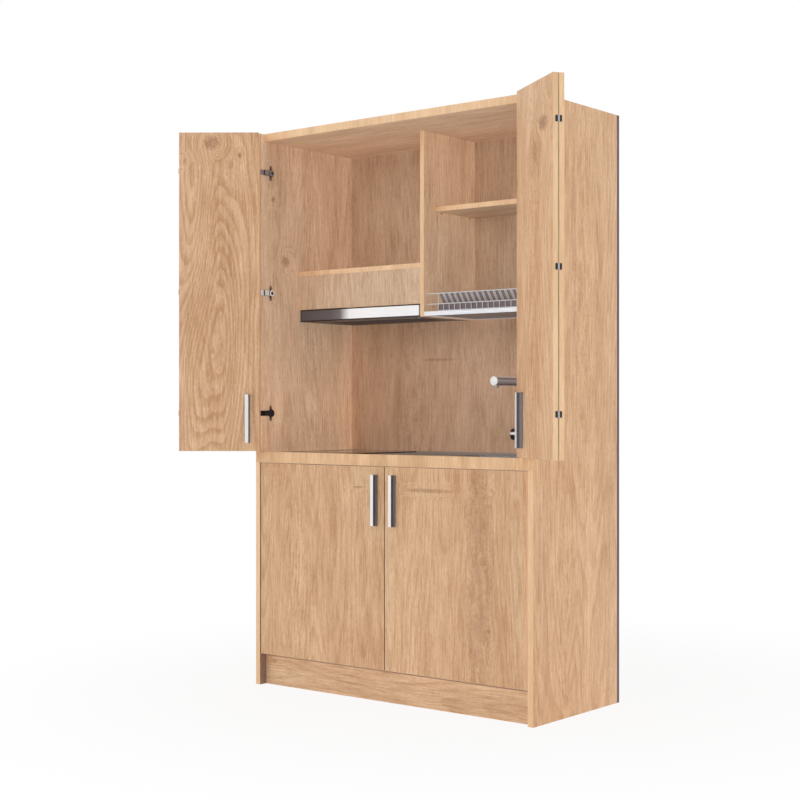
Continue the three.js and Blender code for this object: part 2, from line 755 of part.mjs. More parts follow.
function addPlateRack() {
  const base = drainerTop + fitGap + rodRadius;
  const top = base + rackHeight;
  const frontWireY = fittingsY + rackFrontSetback;
  const ridgeY = frontWireY + rackRidgeDepth;
  const rearY = frontWireY + rackDepth;
  const ends = grown(drainerX, -fitGap);
  const rackX = grown(drainerX, -rackSideMargin);
  const rod = (x, y, z) => crossBar(x, y, z, rodRadius, rodSides);
  const wires = [
    rod(ends, frontWireY, top),
    rod(ends, frontWireY, base + rackMidHeight),
    rod(grown(rackX, wire), frontWireY, base),
    rod(grown(rackX, wire), ridgeY, base + rackRidgeFoot),
    rod(grown(rackX, wire), (ridgeY + rearY) / 2, base),
    rod(ends, rearY, base),
  ];
  const pitch = (rackX[1] - rackX[0]) / rackSlots;
  const bends = [
    [frontWireY, base],
    [frontWireY, top],
    [frontWireY + rackCrest, top],
    [ridgeY, base + rackRidgeFoot],
    [ridgeY + rackRidgeFoot, base],
    [rearY, base],
  ];
  for (let i = 0; i <= rackSlots; i += 1) wires.push(bentStrip(rackX[0] + i * pitch, bends, wire, wire));
  piece(kitchenette, 'plate_rack', shaped(wires), brightSteel);
}

// ---------------------------------------------------------------------------------------------------
// Doors. A door's own frame has its turning axis at x = y = 0 and its face on y = 0 when it is closed;
// inward is +1 for the doors on the left, where that is the cabinet's +X, and -1 on the right.
// ---------------------------------------------------------------------------------------------------

const sides = [
  { hand: 'left', inward: 1, openAngle: leftOpenAngle },
  { hand: 'right', inward: -1, openAngle: rightOpenAngle },
];

/** A handle whose back lies on the plane y = face, pointing to -Y; x is the middle of its grip. */
function handleShape(x, face, bottom) {
  const z = [bottom, bottom + handleLength];
  const gripBack = face - handleProjection + gripThickness;
  const webRight = x + handleWidth / 2 + webStep;
  return shaped([
    block(grown([x, x], handleWidth / 2), [face - handleProjection, gripBack], z),
    block([webRight - webWidth, webRight], [gripBack - 1, face - fitGap], z),
  ]);
}

/** The round pockets for the hinge cups in a door's back. */
function cupPockets(x, levels) {
  const y = [doorThickness - cupDepth, doorThickness + 1];
  return Object.values(levels).map((z) => depthBar(x, y, z, cupRadius));
}

function addFoldingDoors({ hand, inward, openAngle }) {
  const along = (low, high) => [inward * low, inward * high];
  const pivotX = -inward * (innerHalf - upperPivotOffset);
  const nearEdge = upperSideGap - upperPivotOffset;
  const farEdge = nearEdge + leafWidth;
  const doorZ = [upperDoorBottom, upperDoorTop];

  const outer = new THREE.Group();
  outer.position.set(pivotX, frontY, 0);
  outer.rotation.z = -inward * THREE.MathUtils.degToRad(openAngle);
  kitchenette.add(outer);

  // The two leaves share one fold axis, half a gap beyond their edges and behind their backs.
  const foldX = inward * (farEdge + foldGap / 2);
  const foldY = doorThickness + backToBackGap / 2;
  const knucklePockets = (x, y) =>
    Object.values(upperHingeLevels).map((z) =>
      post(x, y, grown([z, z], foldHingeHeight / 2 + fitGap), knuckleRadius + fitGap, coarseSides),
    );
  const outerLeaf = shaped(
    [block(along(nearEdge, farEdge), [0, doorThickness], doorZ)],
    [...knucklePockets(foldX, foldY), ...cupPockets(inward * (nearEdge + cupEdgeDistance), upperHingeLevels)],
  );
  piece(outer, `${hand}_outer_leaf`, outerLeaf, oak);

  const plateX = along(farEdge + fitGap, farEdge + fitGap + foldPlateThickness);
  const plateY = [foldY - foldHingeSpan / 2, foldY];
  for (const [level, z] of Object.entries(upperHingeLevels)) {
    const hingeZ = grown([z, z], foldHingeHeight / 2);
    const knuckle = post(foldX, foldY, hingeZ, knuckleRadius, coarseSides);
    const plate = block(plateX, plateY, hingeZ);
    piece(outer, `${hand}_fold_hinge_${level}`, shaped([knuckle, plate]), blackMetal);
  }

  const inner = new THREE.Group();
  inner.position.set(foldX, foldY, 0);
  inner.rotation.z = Math.PI;
  outer.add(inner);
  const innerLeaf = shaped(
    [block(along(foldGap / 2, foldGap / 2 + leafWidth), [-foldY, doorThickness - foldY], doorZ)],
    knucklePockets(0, 0),
  );
  piece(inner, `${hand}_inner_leaf`, innerLeaf, oak);
  const handleX = inward * (foldGap / 2 + leafWidth - upperHandleEdgeDistance);
  const handle = handleShape(handleX, -foldY, upperDoorBottom + upperHandleRise);
  piece(inner, `${hand}_upper_handle`, handle, aluminium);
}

function addLowerDoor({ hand, inward }) {
  const nearEdge = lowerSideGap - lowerPivotOffset;
  const farEdge = nearEdge + lowerDoorWidth;
  const hinged = new THREE.Group();
  hinged.position.set(-inward * (innerHalf - lowerPivotOffset), frontY, 0);
  kitchenette.add(hinged);
  const door = shaped(
    [block([inward * nearEdge, inward * farEdge], [0, doorThickness], [lowerDoorBottom, lowerDoorTop])],
    cupPockets(inward * (nearEdge + cupEdgeDistance), lowerHingeLevels),
  );
  piece(hinged, `lower_${hand}_door`, door, oak);
  const handleX = inward * (farEdge - lowerHandleEdgeDistance);
  const handleBottom = lowerDoorTop - lowerHandleDrop - handleLength;
  piece(hinged, `lower_${hand}_handle`, handleShape(handleX, 0, handleBottom), aluminium);
}

/** The fixed half of a concealed hinge: an arm and a winged plate on a side panel's inner face. */
function addSideHinge(name, inward, level, material) {
  const wall = -inward * innerHalf;
  const out = (depth) => [wall, wall + inward * depth];
  const armFront = frontY + doorThickness + fitGap;
  const bossY = armFront + hingeBossSetback;
  const wingY = grown([bossY, bossY], hingeWingWidth / 2);
  const hinge = shaped([
    block(out(hingeArmProud), [armFront, bossY], grown([level, level], hingeArmHeight / 2)),
    block(out(hingeWingProud), wingY, grown([level, level], hingeWingHeight / 2)),
    crossBar(out(hingeBossProud), bossY, level, hingeBossRadius, coarseSides),
  ]);
  piece(kitchenette, name, hinge, material);
}

function addSideHinges({ hand, inward }) {
  for (const [level, z] of Object.entries(upperHingeLevels)) {
    addSideHinge(`${hand}_side_hinge_${level}`, inward, z, level === 'bottom' ? blackMetal : satinSteel);
  }
  for (const [level, z] of Object.entries(lowerHingeLevels)) {
    addSideHinge(`lower_${hand}_hinge_${level}`, inward, z, satinSteel);
  }
}

addCarcass();
addWorktop();
addBowl();
addHob();
addDrain();
addTap();
addHood();
addFan();
addDrainer();
addPlateRack();
for (const side of sides) {
  addFoldingDoors(side);
  addLowerDoor(side);
  addSideHinges(side);
}

export default kitchenette;
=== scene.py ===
# %% [markdown]
# # A wardrobe kitchenette
# A tall oak-faced cabinet opens to a small kitchen: a steel worktop with a sink and a hob, a pull-out
# extractor hood, a dish drainer and a shelf. Two pairs of folding doors close the upper part, and two
# hinged doors the lower part. The frame holds every part at its real size and place. This script gives the
# parts their looks: oak decor, edge bands, steel, and the small fittings that a closer look finds.

# %% Load the frame
import json
import math

import bmesh
import bpy
from mathutils import Matrix, Vector

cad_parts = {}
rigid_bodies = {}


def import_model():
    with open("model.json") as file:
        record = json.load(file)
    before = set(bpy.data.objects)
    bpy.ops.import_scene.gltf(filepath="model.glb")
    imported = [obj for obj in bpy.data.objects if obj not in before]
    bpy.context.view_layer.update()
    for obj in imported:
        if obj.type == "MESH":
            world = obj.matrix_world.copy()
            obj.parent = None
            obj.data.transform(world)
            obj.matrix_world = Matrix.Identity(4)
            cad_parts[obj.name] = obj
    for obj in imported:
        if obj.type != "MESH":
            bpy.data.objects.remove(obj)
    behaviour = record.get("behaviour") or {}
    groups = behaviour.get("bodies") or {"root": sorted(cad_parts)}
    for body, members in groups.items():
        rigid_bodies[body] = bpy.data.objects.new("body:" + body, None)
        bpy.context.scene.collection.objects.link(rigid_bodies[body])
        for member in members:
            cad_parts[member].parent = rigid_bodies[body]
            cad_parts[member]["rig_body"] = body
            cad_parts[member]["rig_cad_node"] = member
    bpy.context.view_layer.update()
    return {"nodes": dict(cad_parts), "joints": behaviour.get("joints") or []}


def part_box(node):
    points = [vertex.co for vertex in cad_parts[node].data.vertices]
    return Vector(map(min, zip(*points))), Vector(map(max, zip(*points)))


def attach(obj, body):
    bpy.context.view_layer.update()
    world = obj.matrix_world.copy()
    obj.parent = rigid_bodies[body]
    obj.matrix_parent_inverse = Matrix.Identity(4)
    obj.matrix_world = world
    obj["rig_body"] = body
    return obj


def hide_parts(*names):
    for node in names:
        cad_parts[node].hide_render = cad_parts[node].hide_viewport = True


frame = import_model()
nodes = frame["nodes"]
joints = {joint["name"]: joint for joint in frame["joints"]}
MM = 0.001

# %% [markdown]
# ## Working by hand, in code
# In Blender a piece is made by adding a primitive, going to edit mode, selecting faces or edges, and using
# an operator on what is selected. The same happens here, with one difference: a script has no mouse, so
# faces and edges are selected by a test on their normal, place or length. A few short helpers do that, and
# the operators then act as they would by hand.

# %% Selecting by a test
UP = Vector((0, 0, 1))
ACROSS = Vector((1, 0, 0))
TO_WALL = Vector((0, 1, 0))
TO_ROOM = -TO_WALL


def pick(*objects):
    """Only these objects are selected, and the first one is active."""
    if bpy.context.mode != "OBJECT":
        bpy.ops.object.mode_set(mode="OBJECT")
    bpy.ops.object.select_all(action="DESELECT")
    for obj in objects:
        obj.select_set(True)
    bpy.context.view_layer.objects.active = objects[0]


def mark(obj, part, test):
    """Enters edit mode and selects the faces, edges or vertices that pass the test. Returns how many."""
    pick(obj)
    bpy.ops.object.mode_set(mode="EDIT")
    bpy.ops.mesh.select_mode(type=part)
    bpy.ops.mesh.select_all(action="DESELECT")
    mesh = bmesh.from_edit_mesh(obj.data)
    mesh.normal_update()
    items = {"FACE": mesh.faces, "EDGE": mesh.edges, "VERT": mesh.verts}[part]
    chosen = [item for item in items if test(item)]
    for item in chosen:
        item.select_set(True)
    mesh.select_flush_mode()
    bmesh.update_edit_mesh(obj.data)
    return len(chosen)


def leave_edit_mode():
    """Back to object mode, which writes the edits into the mesh."""
    bpy.ops.object.mode_set(mode="OBJECT")


def facing(direction, least=0.9):
    """A test for faces that look along a direction."""
    return lambda face: face.normal.dot(direction) > least


def sharp_and_long(shortest, angle=30):
    """A test for edges between two faces that meet at an angle. Short ones, as round a hole, stay out."""
    limit = math.radians(angle)
    return lambda edge: (
        len(edge.link_faces) == 2 and edge.calc_length() > shortest and edge.calc_face_angle() > limit
    )


def running(direction, longer_than):
    """A test for edges that run along a direction for more than some length."""
    return lambda edge: abs((edge.verts[0].co - edge.verts[1].co).dot(direction)) > longer_than


print("tests for faces and edges ready")

# %% [markdown]
# ## A soft-edged copy of each part
# The frame's solids have the right shapes, but their edges are perfectly sharp. An edge of a real part is a
# little round and catches the light as a thin bright line, which is most of what tells an eye that it is
# real. A Bevel modifier on the solid would round every edge alike, also round the smallest holes. So each
# solid is copied, its triangles are merged into flat faces, and only its long sharp edges are bevelled. A
# finished piece has its place in its mesh and its object at the origin, as the frame's own nodes have.

# %% Copying and easing
SAME_SPOT = 0.01 * MM  # corners that are nearer than this are one
FLAT_ANGLE = 0.5  # degrees; faces that differ by less are one flat face


def settled(obj, name):
    """Names the piece and moves its place into its mesh."""
    pick(obj)
    bpy.ops.object.transform_apply(location=True, rotation=True, scale=True)
    obj.name = obj.data.name = name
    return obj


def smooth(obj, angle=35):
    """Shades flat faces as one round surface where they meet at less than an angle."""
    pick(obj)
    bpy.ops.object.shade_smooth_by_angle(angle=math.radians(angle))
    return obj


def eased(obj, width, shortest=0.0, segments=2, angle=30):
    """Rounds the sharp edges of a piece a little, as every real edge is, so that they catch the light."""
    if mark(obj, "EDGE", sharp_and_long(shortest, angle)):
        bpy.ops.mesh.bevel(offset=width, segments=segments, affect="EDGES", clamp_overlap=True)
    leave_edit_mode()
    return smooth(obj)


def copy_of(node, name):
    """A clean copy of a frame node to work on. Its triangles are joined up and merged into flat faces."""
    pick(nodes[node])
    bpy.ops.object.duplicate()
    copy = bpy.context.object
    del copy["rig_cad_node"]
    copy.parent = None
    copy.name = copy.data.name = name
    mark(copy, "FACE", lambda face: True)
    bpy.ops.mesh.remove_doubles(threshold=SAME_SPOT)
    bpy.ops.mesh.dissolve_limited(angle_limit=math.radians(FLAT_ANGLE))
    leave_edit_mode()
    return copy


print("copying and easing ready")

# %% [markdown]
# ## Finish and body
# A finished piece needs its materials and the moving body that carries it, and it stands for a node of the
# frame, which is then hidden. Two helpers give it these, so that none is forgotten.


# %% Colouring and handing over
def coloured(obj, *materials):
    """Gives the piece its materials; the first one covers it."""
    obj.data.materials.clear()
    for material in materials:
        obj.data.materials.append(material)
    return obj


def painted(obj, material, test):
    """The faces that pass a test get another material."""
    obj.data.materials.append(material)
    for face in obj.data.polygons:
        if test(face):
            face.material_index = len(obj.data.materials) - 1
    return obj


def fitted(obj, name, node, replaced=True, body=None):
    """The finished piece rides where its node rides, and stands for it: the node is hidden."""
    settled(obj, name)
    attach(obj, body or nodes[node]["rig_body"])
    if replaced:
        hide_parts(node)
    return obj


def middle(node):
    """The middle of a node's box."""
    return [(low + high) / 2 for low, high in zip(*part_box(node))]


print("colouring and handing over ready")

# %% [markdown]
# ## Shader maths as Python
# A procedural material is a small calculation at every point of a surface. It could be wired by hand in the
# shader editor, but `1 - mask * 0.3` is easier to read than three nodes and their links. So a `Number` wraps
# a socket and adds the Math nodes when it is used in an expression. Every other node comes from
# `Finish.node`, which sets the node's settings first and its sockets after them.


# %% Numbers over a surface
class Number:
    """A number that varies over the surface."""

    def __init__(self, finish, socket):
        self.finish, self.socket = finish, socket

    def math(self, operation, *values):
        """Adds a Math node. A value is a Number or a plain number."""
        node = self.finish.node("ShaderNodeMath", {"operation": operation}, dict(enumerate(values)))
        return Number(self.finish, node.outputs[0])

    def __add__(self, other):
        return self.math("ADD", self, other)

    def __sub__(self, other):
        return self.math("SUBTRACT", self, other)

    def __rsub__(self, other):
        return self.math("SUBTRACT", other, self)

    def __mul__(self, other):
        return self.math("MULTIPLY", self, other)

    __radd__ = __add__
    __rmul__ = __mul__

    def __truediv__(self, other):
        return self.math("DIVIDE", self, other)

    def __pow__(self, other):
        return self.math("POWER", self, other)

    def fract(self):
        return self.math("FRACT", self)

    def abs(self):
        return self.math("ABSOLUTE", self)

    def root(self):
        return self.math("SQRT", self)

    def exp(self):
        return self.math("EXPONENT", self)

    def most(self, other):
        return self.math("MAXIMUM", self, other)

    def step(self, low, high):
        """0 below low, 1 above high, and a smooth rise between them; low may be the larger one."""
        sockets = {"Value": self, "From Min": low, "From Max": high}
        node = self.finish.node("ShaderNodeMapRange", {"interpolation_type": "SMOOTHSTEP"}, sockets)
        return Number(self.finish, node.outputs[0])


print("numbers over a surface ready")


# %% A material under construction
class Finish:
    """A material, or the world's surround, under construction."""

    def __init__(self, owner):
        self.owner = owner
        owner.use_nodes = True
        self.tree = owner.node_tree
        self.tree.nodes.clear()

    def node(self, kind, settings=None, sockets=None):
        """Adds any node: its settings are set first, and its sockets get values or links after them."""
        node = self.tree.nodes.new(kind)
        for key, value in (settings or {}).items():
            if key == "stops":
                ramp = node.color_ramp.elements
                while len(ramp) < len(value):
                    ramp.new(0.5)
                for element, (place, shade) in zip(ramp, value):
                    element.position, element.color = place, shade
            else:
                setattr(node, key, value)
        for key, value in (sockets or {}).items():
            if isinstance(value, Number):
                self.tree.links.new(value.socket, node.inputs[key])
            elif isinstance(value, bpy.types.NodeSocket):
                self.tree.links.new(value, node.inputs[key])
            else:
                node.inputs[key].default_value = value
        return node

    def place(self, source="Object"):
        """The surface point's x, y and z, from Object coordinates or from a UV map by name."""
        if source == "Object":
            vector = self.node("ShaderNodeTexCoord").outputs["Object"]
        else:
            vector = self.node("ShaderNodeUVMap", {"uv_map": source}).outputs[0]
        outputs = self.node("ShaderNodeSeparateXYZ", None, {0: vector}).outputs
        return [Number(self, output) for output in outputs]

    def vector(self, x, y, z=0.0):
        return self.node("ShaderNodeCombineXYZ", None, {0: x, 1: y, 2: z}).outputs[0]

    def noise(self, vector, detail=2.0, roughness=0.5):
        """Noise between 0 and 1. The vector is already scaled, so the node's own scale is 1."""
        sockets = {"Vector": vector, "Scale": 1.0, "Detail": detail, "Roughness": roughness}
        return Number(self, self.node("ShaderNodeTexNoise", None, sockets).outputs[0])

    def ramp(self, value, stops):
        return self.node("ShaderNodeValToRGB", {"stops": stops}, {0: value}).outputs[0]

    def mix(self, share, first, second, blend="MIX"):
        settings = {"data_type": "RGBA", "blend_type": blend}
        return self.node("ShaderNodeMix", settings, {0: share, 6: first, 7: second}).outputs[2]

    def bump(self, height, strength, distance):
        sockets = {"Strength": strength, "Distance": distance, "Height": height}
        return self.node("ShaderNodeBump", None, sockets).outputs[0]

    def made(self, **sockets):
        """Ends the material in one Principled shader; names are written with _ for spaces."""
        names = {key.replace("_", " "): value for key, value in sockets.items()}
        shader = self.node("ShaderNodeBsdfPrincipled", None, names)
        self.node("ShaderNodeOutputMaterial", None, {0: shader.outputs[0]})
        return self.owner


print("shader expressions ready")


# %% Colours
def new_finish(name):
    return Finish(bpy.data.materials.new(name))


def colour(red, green, blue):
    """An sRGB colour, as a colour picker shows it, as the linear colour that Blender works in."""
    shares = [value / 255 for value in (red, green, blue)]
    return (*(s / 12.92 if s <= 0.04045 else ((s + 0.055) / 1.055) ** 2.4 for s in shares), 1.0)


def dimmed(shade, by):
    """A linear colour times a number."""
    return (*(value * by for value in shade[:3]), 1.0)


print("middle grey as a linear colour:", [round(value, 3) for value in colour(128, 128, 128)])

# %% [markdown]
# ## Oak decor
# The boards are chipboard with an oak print. A picture of oak would do for one board, but it repeats and
# blurs, so the print is calculated. Oak has several layers: slow bands and soft patches of tone, growth
# rings, which a flat cut turns into tall arches, long thin lines that waver a little, short dashes, and fine
# pores. The rings are the contour lines of a smooth noise that is stretched along the grain. A knot is a
# hill in the same field, so that the rings go round it, and it spreads the lines apart, as in real wood. The
# pattern reads a UV map named Grain, in metres, so it follows every board, turned or not, and each board
# shows another part of it. The boards inside have a paler print, because the light that goes to and fro
# between them warms every colour.

# %% The oak finish
OUTER_OAK = [colour(184, 138, 98), colour(208, 167, 129), colour(230, 193, 154)]  # dark, middle and light
INNER_OAK = [colour(184, 150, 120), colour(209, 178, 150), colour(228, 201, 171)]
OAK_PORE = colour(168, 120, 80)
KNOT_BROWN = colour(140, 94, 60)
LAYERS = {  # how often each layer of the print changes in a metre, across the grain and along it
    "sway": (1.5, 0.9),
    "waver": (14, 11),
    "rings": (4.6, 0.5),
    "ragged rim": (110, 70),
    "bands": (11, 0.7),
    "patches": (16, 4),
    "lines": (170, 9),
    "dashes": (330, 60),
    "fine": (700, 260),
    "pores": (330, 24),
}
RING_HEIGHT = 8  # steps between the lowest and the highest point of the rings' field
KNOT_RINGS = 7  # steps that a knot adds, at a figure of 1
RING_COUNT = 3  # rings to a step


def oak(name, knots=(), tones=OUTER_OAK, figure=0.22, below=()):
    """Oak decor. A knot is (across, along, width, height, darkness), in metres on the Grain map.

    The figure is how strongly the growth rings show. Each item of below is (from, to, red, green, blue): the
    tone is multiplied by these under a level on the map, as painted light where they are above 1 and as
    painted shade where they are below 1.
    """
    wood = new_finish(name)
    u, v, _ = wood.place("Grain")

    def layer(kind, position, detail=2.0, roughness=0.5):
        by_across, by_along = LAYERS[kind]
        return wood.noise(wood.vector(position * by_across, v * by_along), detail, roughness)

    across = u + (layer("sway", u) - 0.5) * 0.05 + (layer("waver", u) - 0.5) * 0.008
    rings = layer("rings", across, 1.0) * RING_HEIGHT
    spots = None
    for centre, level, width, height, darkness in knots:
        away = ((u - centre) / width) ** 2 + ((v - level) / height) ** 2
        hill = (away * -0.4).exp()
        rings = rings + hill * (figure * KNOT_RINGS)
        across = across - (u - centre) * hill * min(0.7, height / width)
        rough = layer("ragged rim", u) - 0.5
        spot = (away + rough * 1.8).step(1.1, 0.0) * darkness
        spots = spot if spots is None else spots.most(spot)
    contour = (rings * RING_COUNT).fract()
    late_wood = contour.step(0.3, 0.9) * contour.step(1.0, 0.9)
    bands = layer("bands", across) - 0.5
    patches = layer("patches", across) - 0.5
    lines = layer("lines", across, 2.0, 0.6) - 0.5
    dashes = layer("dashes", across, 2.0, 0.6) - 0.5
    fine = layer("fine", across, 1.0) - 0.5
    tone = 0.53 + bands * 0.9 + patches * 0.7 + lines * 1.5 + dashes * 0.9 + fine * 0.7 - late_wood * figure
    base = wood.ramp(tone, list(zip((0.0, 0.5, 1.0), tones)))
    pores = layer("pores", across, 1.0).step(0.60, 0.76)
    base = wood.mix(pores * 0.55, base, OAK_PORE)
    if spots is not None:
        base = wood.mix(spots, base, KNOT_BROWN)
    for start, end, red, green, blue in below:
        base = wood.mix(v.step(start, end), base, (red, green, blue, 1.0), blend="MULTIPLY")
    normal = wood.bump(lines * 0.5 - pores * 0.5, 0.25, 0.2 * MM)
    return wood.made(Base_Color=base, Roughness=0.55 + pores * 0.15, Normal=normal)


print("layers of the oak print:", len(LAYERS))


# %% Edge bands
def edge_band(name, light, dark):
    """An edge band, the strip that covers a board's narrow faces: short streaks across a narrow face."""
    wood = new_finish(name)
    u, v, _ = wood.place("Grain")
    streaks = wood.noise(wood.vector(u * 170, v * 14), 3.0, 0.65)
    tones = wood.noise(wood.vector(u * 22, v * 2))
    base = wood.mix((streaks * 0.6 + tones * 0.6 - 0.1).step(0.25, 0.75), dark, light)
    return wood.made(Base_Color=base, Roughness=0.5, Normal=wood.bump(streaks, 0.2, 0.1 * MM))


EDGE = edge_band("oak edge band", colour(243, 207, 166), colour(220, 178, 136))
RAIL = edge_band("oak rail", colour(236, 196, 152), colour(200, 157, 117))
RAW_EDGE = edge_band("raw board edge", colour(96, 80, 84), colour(72, 58, 62))
GAP_SHADE = edge_band("brown edge band", colour(112, 96, 84), colour(92, 78, 68))
# painted shade for the gap at the fold between two leaves
FOLD_SHADE = edge_band("fold line", colour(146, 158, 134), colour(130, 142, 120))
SHADE_EDGE = edge_band("shaded plinth top", colour(164, 136, 114), colour(148, 122, 102))
GAP_LIGHT = edge_band("pale seal", colour(214, 190, 166), colour(196, 172, 150))
GAP_SHADOW = edge_band("dust strip", colour(88, 82, 90), colour(72, 66, 74))
print("edge bands ready")

# %% [markdown]
# ## Boards
# A board is a flat panel with a banded edge, and its shape is already right in the frame. Each one is copied,
# its long edges are eased by about half a millimetre, and its narrow faces get the edge band. On upright
# faces the grain runs up, on level ones it runs along the cabinet, and only the plinth has it lying on an
# upright face. A UV unwrap by hand would lay each board down another way, so the map is written from the
# board's own place and size. The knots of a board are given from its lower left corner.


# %% Prints for the boards
def tinted(tones, red, green, blue):
    """The tones of a print, times a number for each of the three colours."""
    return [(tone[0] * red, tone[1] * green, tone[2] * blue, 1.0) for tone in tones]


PLAIN_OAK = oak("oak decor")
INNER_PLAIN_OAK = oak("inner oak decor", tones=INNER_OAK, figure=0.15)
# painted shade: the right shelf's print is darker, for its underside in shade
SHADED_OAK = oak("shelf oak decor", tones=[dimmed(tone, 0.80) for tone in INNER_OAK], figure=0.15)
# painted shade: the back panel's print is darker than that of the other inner boards
BACK_OAK = tinted(INNER_OAK, 0.87, 0.86, 0.85)
# painted light: the inner leaves' print is brighter than the outer one
LIT_LEAF_OAK = tinted(OUTER_OAK, 1.06, 1.08, 1.12)
# painted light: the upper divider's print is brighter than that of the other inner boards
LIT_DIVIDER_OAK = oak("divider oak decor", tones=[dimmed(tone, 1.06) for tone in INNER_OAK], figure=0.15)
PLINTH_OAK = tinted(OUTER_OAK, 1.0, 1.05, 1.11)
LEFT_INNER_OAK = oak(
    "inner oak decor of the left side",
    knots=[(0.14, 1.60, 0.024, 0.026, 0.6), (0.07, 1.83, 0.016, 0.014, 0.5), (0.30, 1.2, 0.05, 0.4, 0)],
    tones=INNER_OAK,
    figure=0.2,
    # painted light: the inner face is lighter towards the bottom; painted shadow: the strip at the toe-kick,
    # under the bottom panel, is dark
    below=[(1.5, 0.95, 1.31, 1.24, 1.18), (0.119, 0.117, 0.36, 0.34, 0.38)],
)
print("prints ready; tones of the outer one:", len(OUTER_OAK))


# %% Laying the grain
def lay_grain(obj, start, lying=False):
    """Writes the Grain map: across the grain and along it, in metres from the board's own edges."""
    grain = obj.data.uv_layers.new(name="Grain")
    points = [vertex.co for vertex in obj.data.vertices]
    reach = {}
    for face in obj.data.polygons:
        if abs(face.normal.z) > 0.7:
            across, along = TO_WALL, ACROSS
        else:
            level = UP.cross(face.normal).normalized()
            across, along = (UP, level) if lying else (level, UP)
        key = tuple(round(c, 1) for c in (*across, *along))
        if key not in reach:
            reach[key] = (min(p.dot(across) for p in points), min(p.dot(along) for p in points))
        low_across, low_along = reach[key]
        for corner in face.loop_indices:
            point = points[obj.data.loops[corner].vertex_index]
            place = (point.dot(across) - low_across + start[0], point.dot(along) - low_along + start[1])
            grain.data[corner].uv = place


print("grain can be laid")

# %% A board
BOARD_EASE = 0.6 * MM
LEAF_EASE = 2.0 * MM
SHORTEST_BOARD_EDGE = 10 * MM


def board(
    node, start, knots=(), wood=None, band=EDGE, lying=False, tones=OUTER_OAK, figure=0.22, inside=None,
    below=(), ease=BOARD_EASE,
):
    """A board of the frame with eased edges, its grain laid, and its narrow faces banded.

    A side panel looks inside along one direction, and has a print of its own there: inside is both.
    """
    piece = copy_of(node, f"{node}_dressed")
    faces = sorted(piece.data.polygons, key=lambda face: -face.area)
    thickness = faces[0].normal.copy()
    eased(piece, ease, SHORTEST_BOARD_EDGE)
    if knots:
        knots = [(start[0] + across, start[1] + along, *rest) for across, along, *rest in knots]
        below = [(high + start[1], low + start[1], *tint) for high, low, *tint in below]
        wood = oak(f"oak decor of {node}", knots, tones, figure, below)
    coloured(piece, wood or PLAIN_OAK, band)
    for face in piece.data.polygons:
        face.material_index = 0 if abs(face.normal.dot(thickness)) > 0.8 else 1
    if inside:
        painted(piece, inside[1], facing(inside[0], 0.8))
    lay_grain(piece, start, lying)
    return fitted(piece, f"{node}_dressed", node)


print("boards can be dressed")

# %% [markdown]
# ## Carcass
# The carcass is two side panels, top, bottom and back, two dividers, the shelves, the plinth and a rail in
# front of the worktop. Its boards differ in the light they get, so their prints carry painted light and
# shade: paler inside, darker on the back panel and the right shelf, warmer low on the back panel, brighter on
# the upper divider, lighter low on the left side's inner face and dark at its toe-kick. The back panel's rear
# has the plain print. The plinth stands back under the doors, and its upper edge lies in their shade. Soft
# lamps wash that line out, so a bisect cuts a strip along it, and the strip gets a darker band of painted
# shade.

# %% Dressing the carcass
left_side = board("left_side_panel", (0.0, 0.0), inside=(ACROSS, LEFT_INNER_OAK))
# painted shadow on the bevel of the inner front edge, in the shade of the leaf and the door
painted(left_side, GAP_SHADOW, lambda face: face.normal.y < -0.3 and face.normal.x > 0.3)
board(
    "right_side_panel",
    (2.1, 0.3),
    [(0.3, 1.35, 0.06, 0.5, 0), (0.2, 0.4, 0.05, 0.3, 0)],
    inside=(-ACROSS, INNER_PLAIN_OAK),
)
back = board(
    "back_panel",
    (4.3, 0.6),
    [(0.46, 1.225, 0.10, 0.006, 0.45), (0.35, 1.0, 0.06, 0.3, 0)],
    band=RAW_EDGE,
    tones=BACK_OAK,
    figure=0.12,
    # painted shade: below a level about 1.4 m up on its map the print is warmer, with less green and blue
    below=[(1.40, 1.36, 1.06, 0.95, 0.90)],
)
painted(back, PLAIN_OAK, facing(TO_WALL))
board("top_panel", (6.2, 0.1), wood=INNER_PLAIN_OAK)
board("bottom_panel", (8.4, 0.9), wood=INNER_PLAIN_OAK)
SHADE_WIDTH = 10.5 * MM  # the dark top of the plinth, most of it behind the doors
plinth = board("plinth", (1.3, 4.4), [(0.09, 0.04, 0.008, 0.02, 0.5)], lying=True, tones=PLINTH_OAK)
shade_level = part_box("plinth")[1].z - SHADE_WIDTH
mark(plinth, "FACE", facing(TO_ROOM))
bpy.ops.mesh.bisect(plane_co=(0, 0, shade_level), plane_no=UP)
leave_edit_mode()
painted(plinth, SHADE_EDGE, lambda face: face.normal.dot(TO_ROOM) > 0.9 and face.center.z > shade_level)
board("front_rail", (3.7, 5.2), wood=RAIL, band=RAIL)
# painted shade on the lower divider's front edge, seen through the gap between the doors
board("lower_divider", (9.2, 0.2), wood=INNER_PLAIN_OAK, band=GAP_SHADE)
board("upper_divider", (11.5, 0.7), wood=LIT_DIVIDER_OAK)
board("lower_shelf", (12.6, 2.2), wood=INNER_PLAIN_OAK)
board("right_shelf", (14.1, 1.7), wood=SHADED_OAK)
board("hood_shelf", (15.4, 3.1), wood=INNER_PLAIN_OAK)
board("hood_front_panel", (16.8, 0.4), wood=INNER_PLAIN_OAK)
print("carcass dressed; plinth shaded above", round(shade_level, 4), "m")
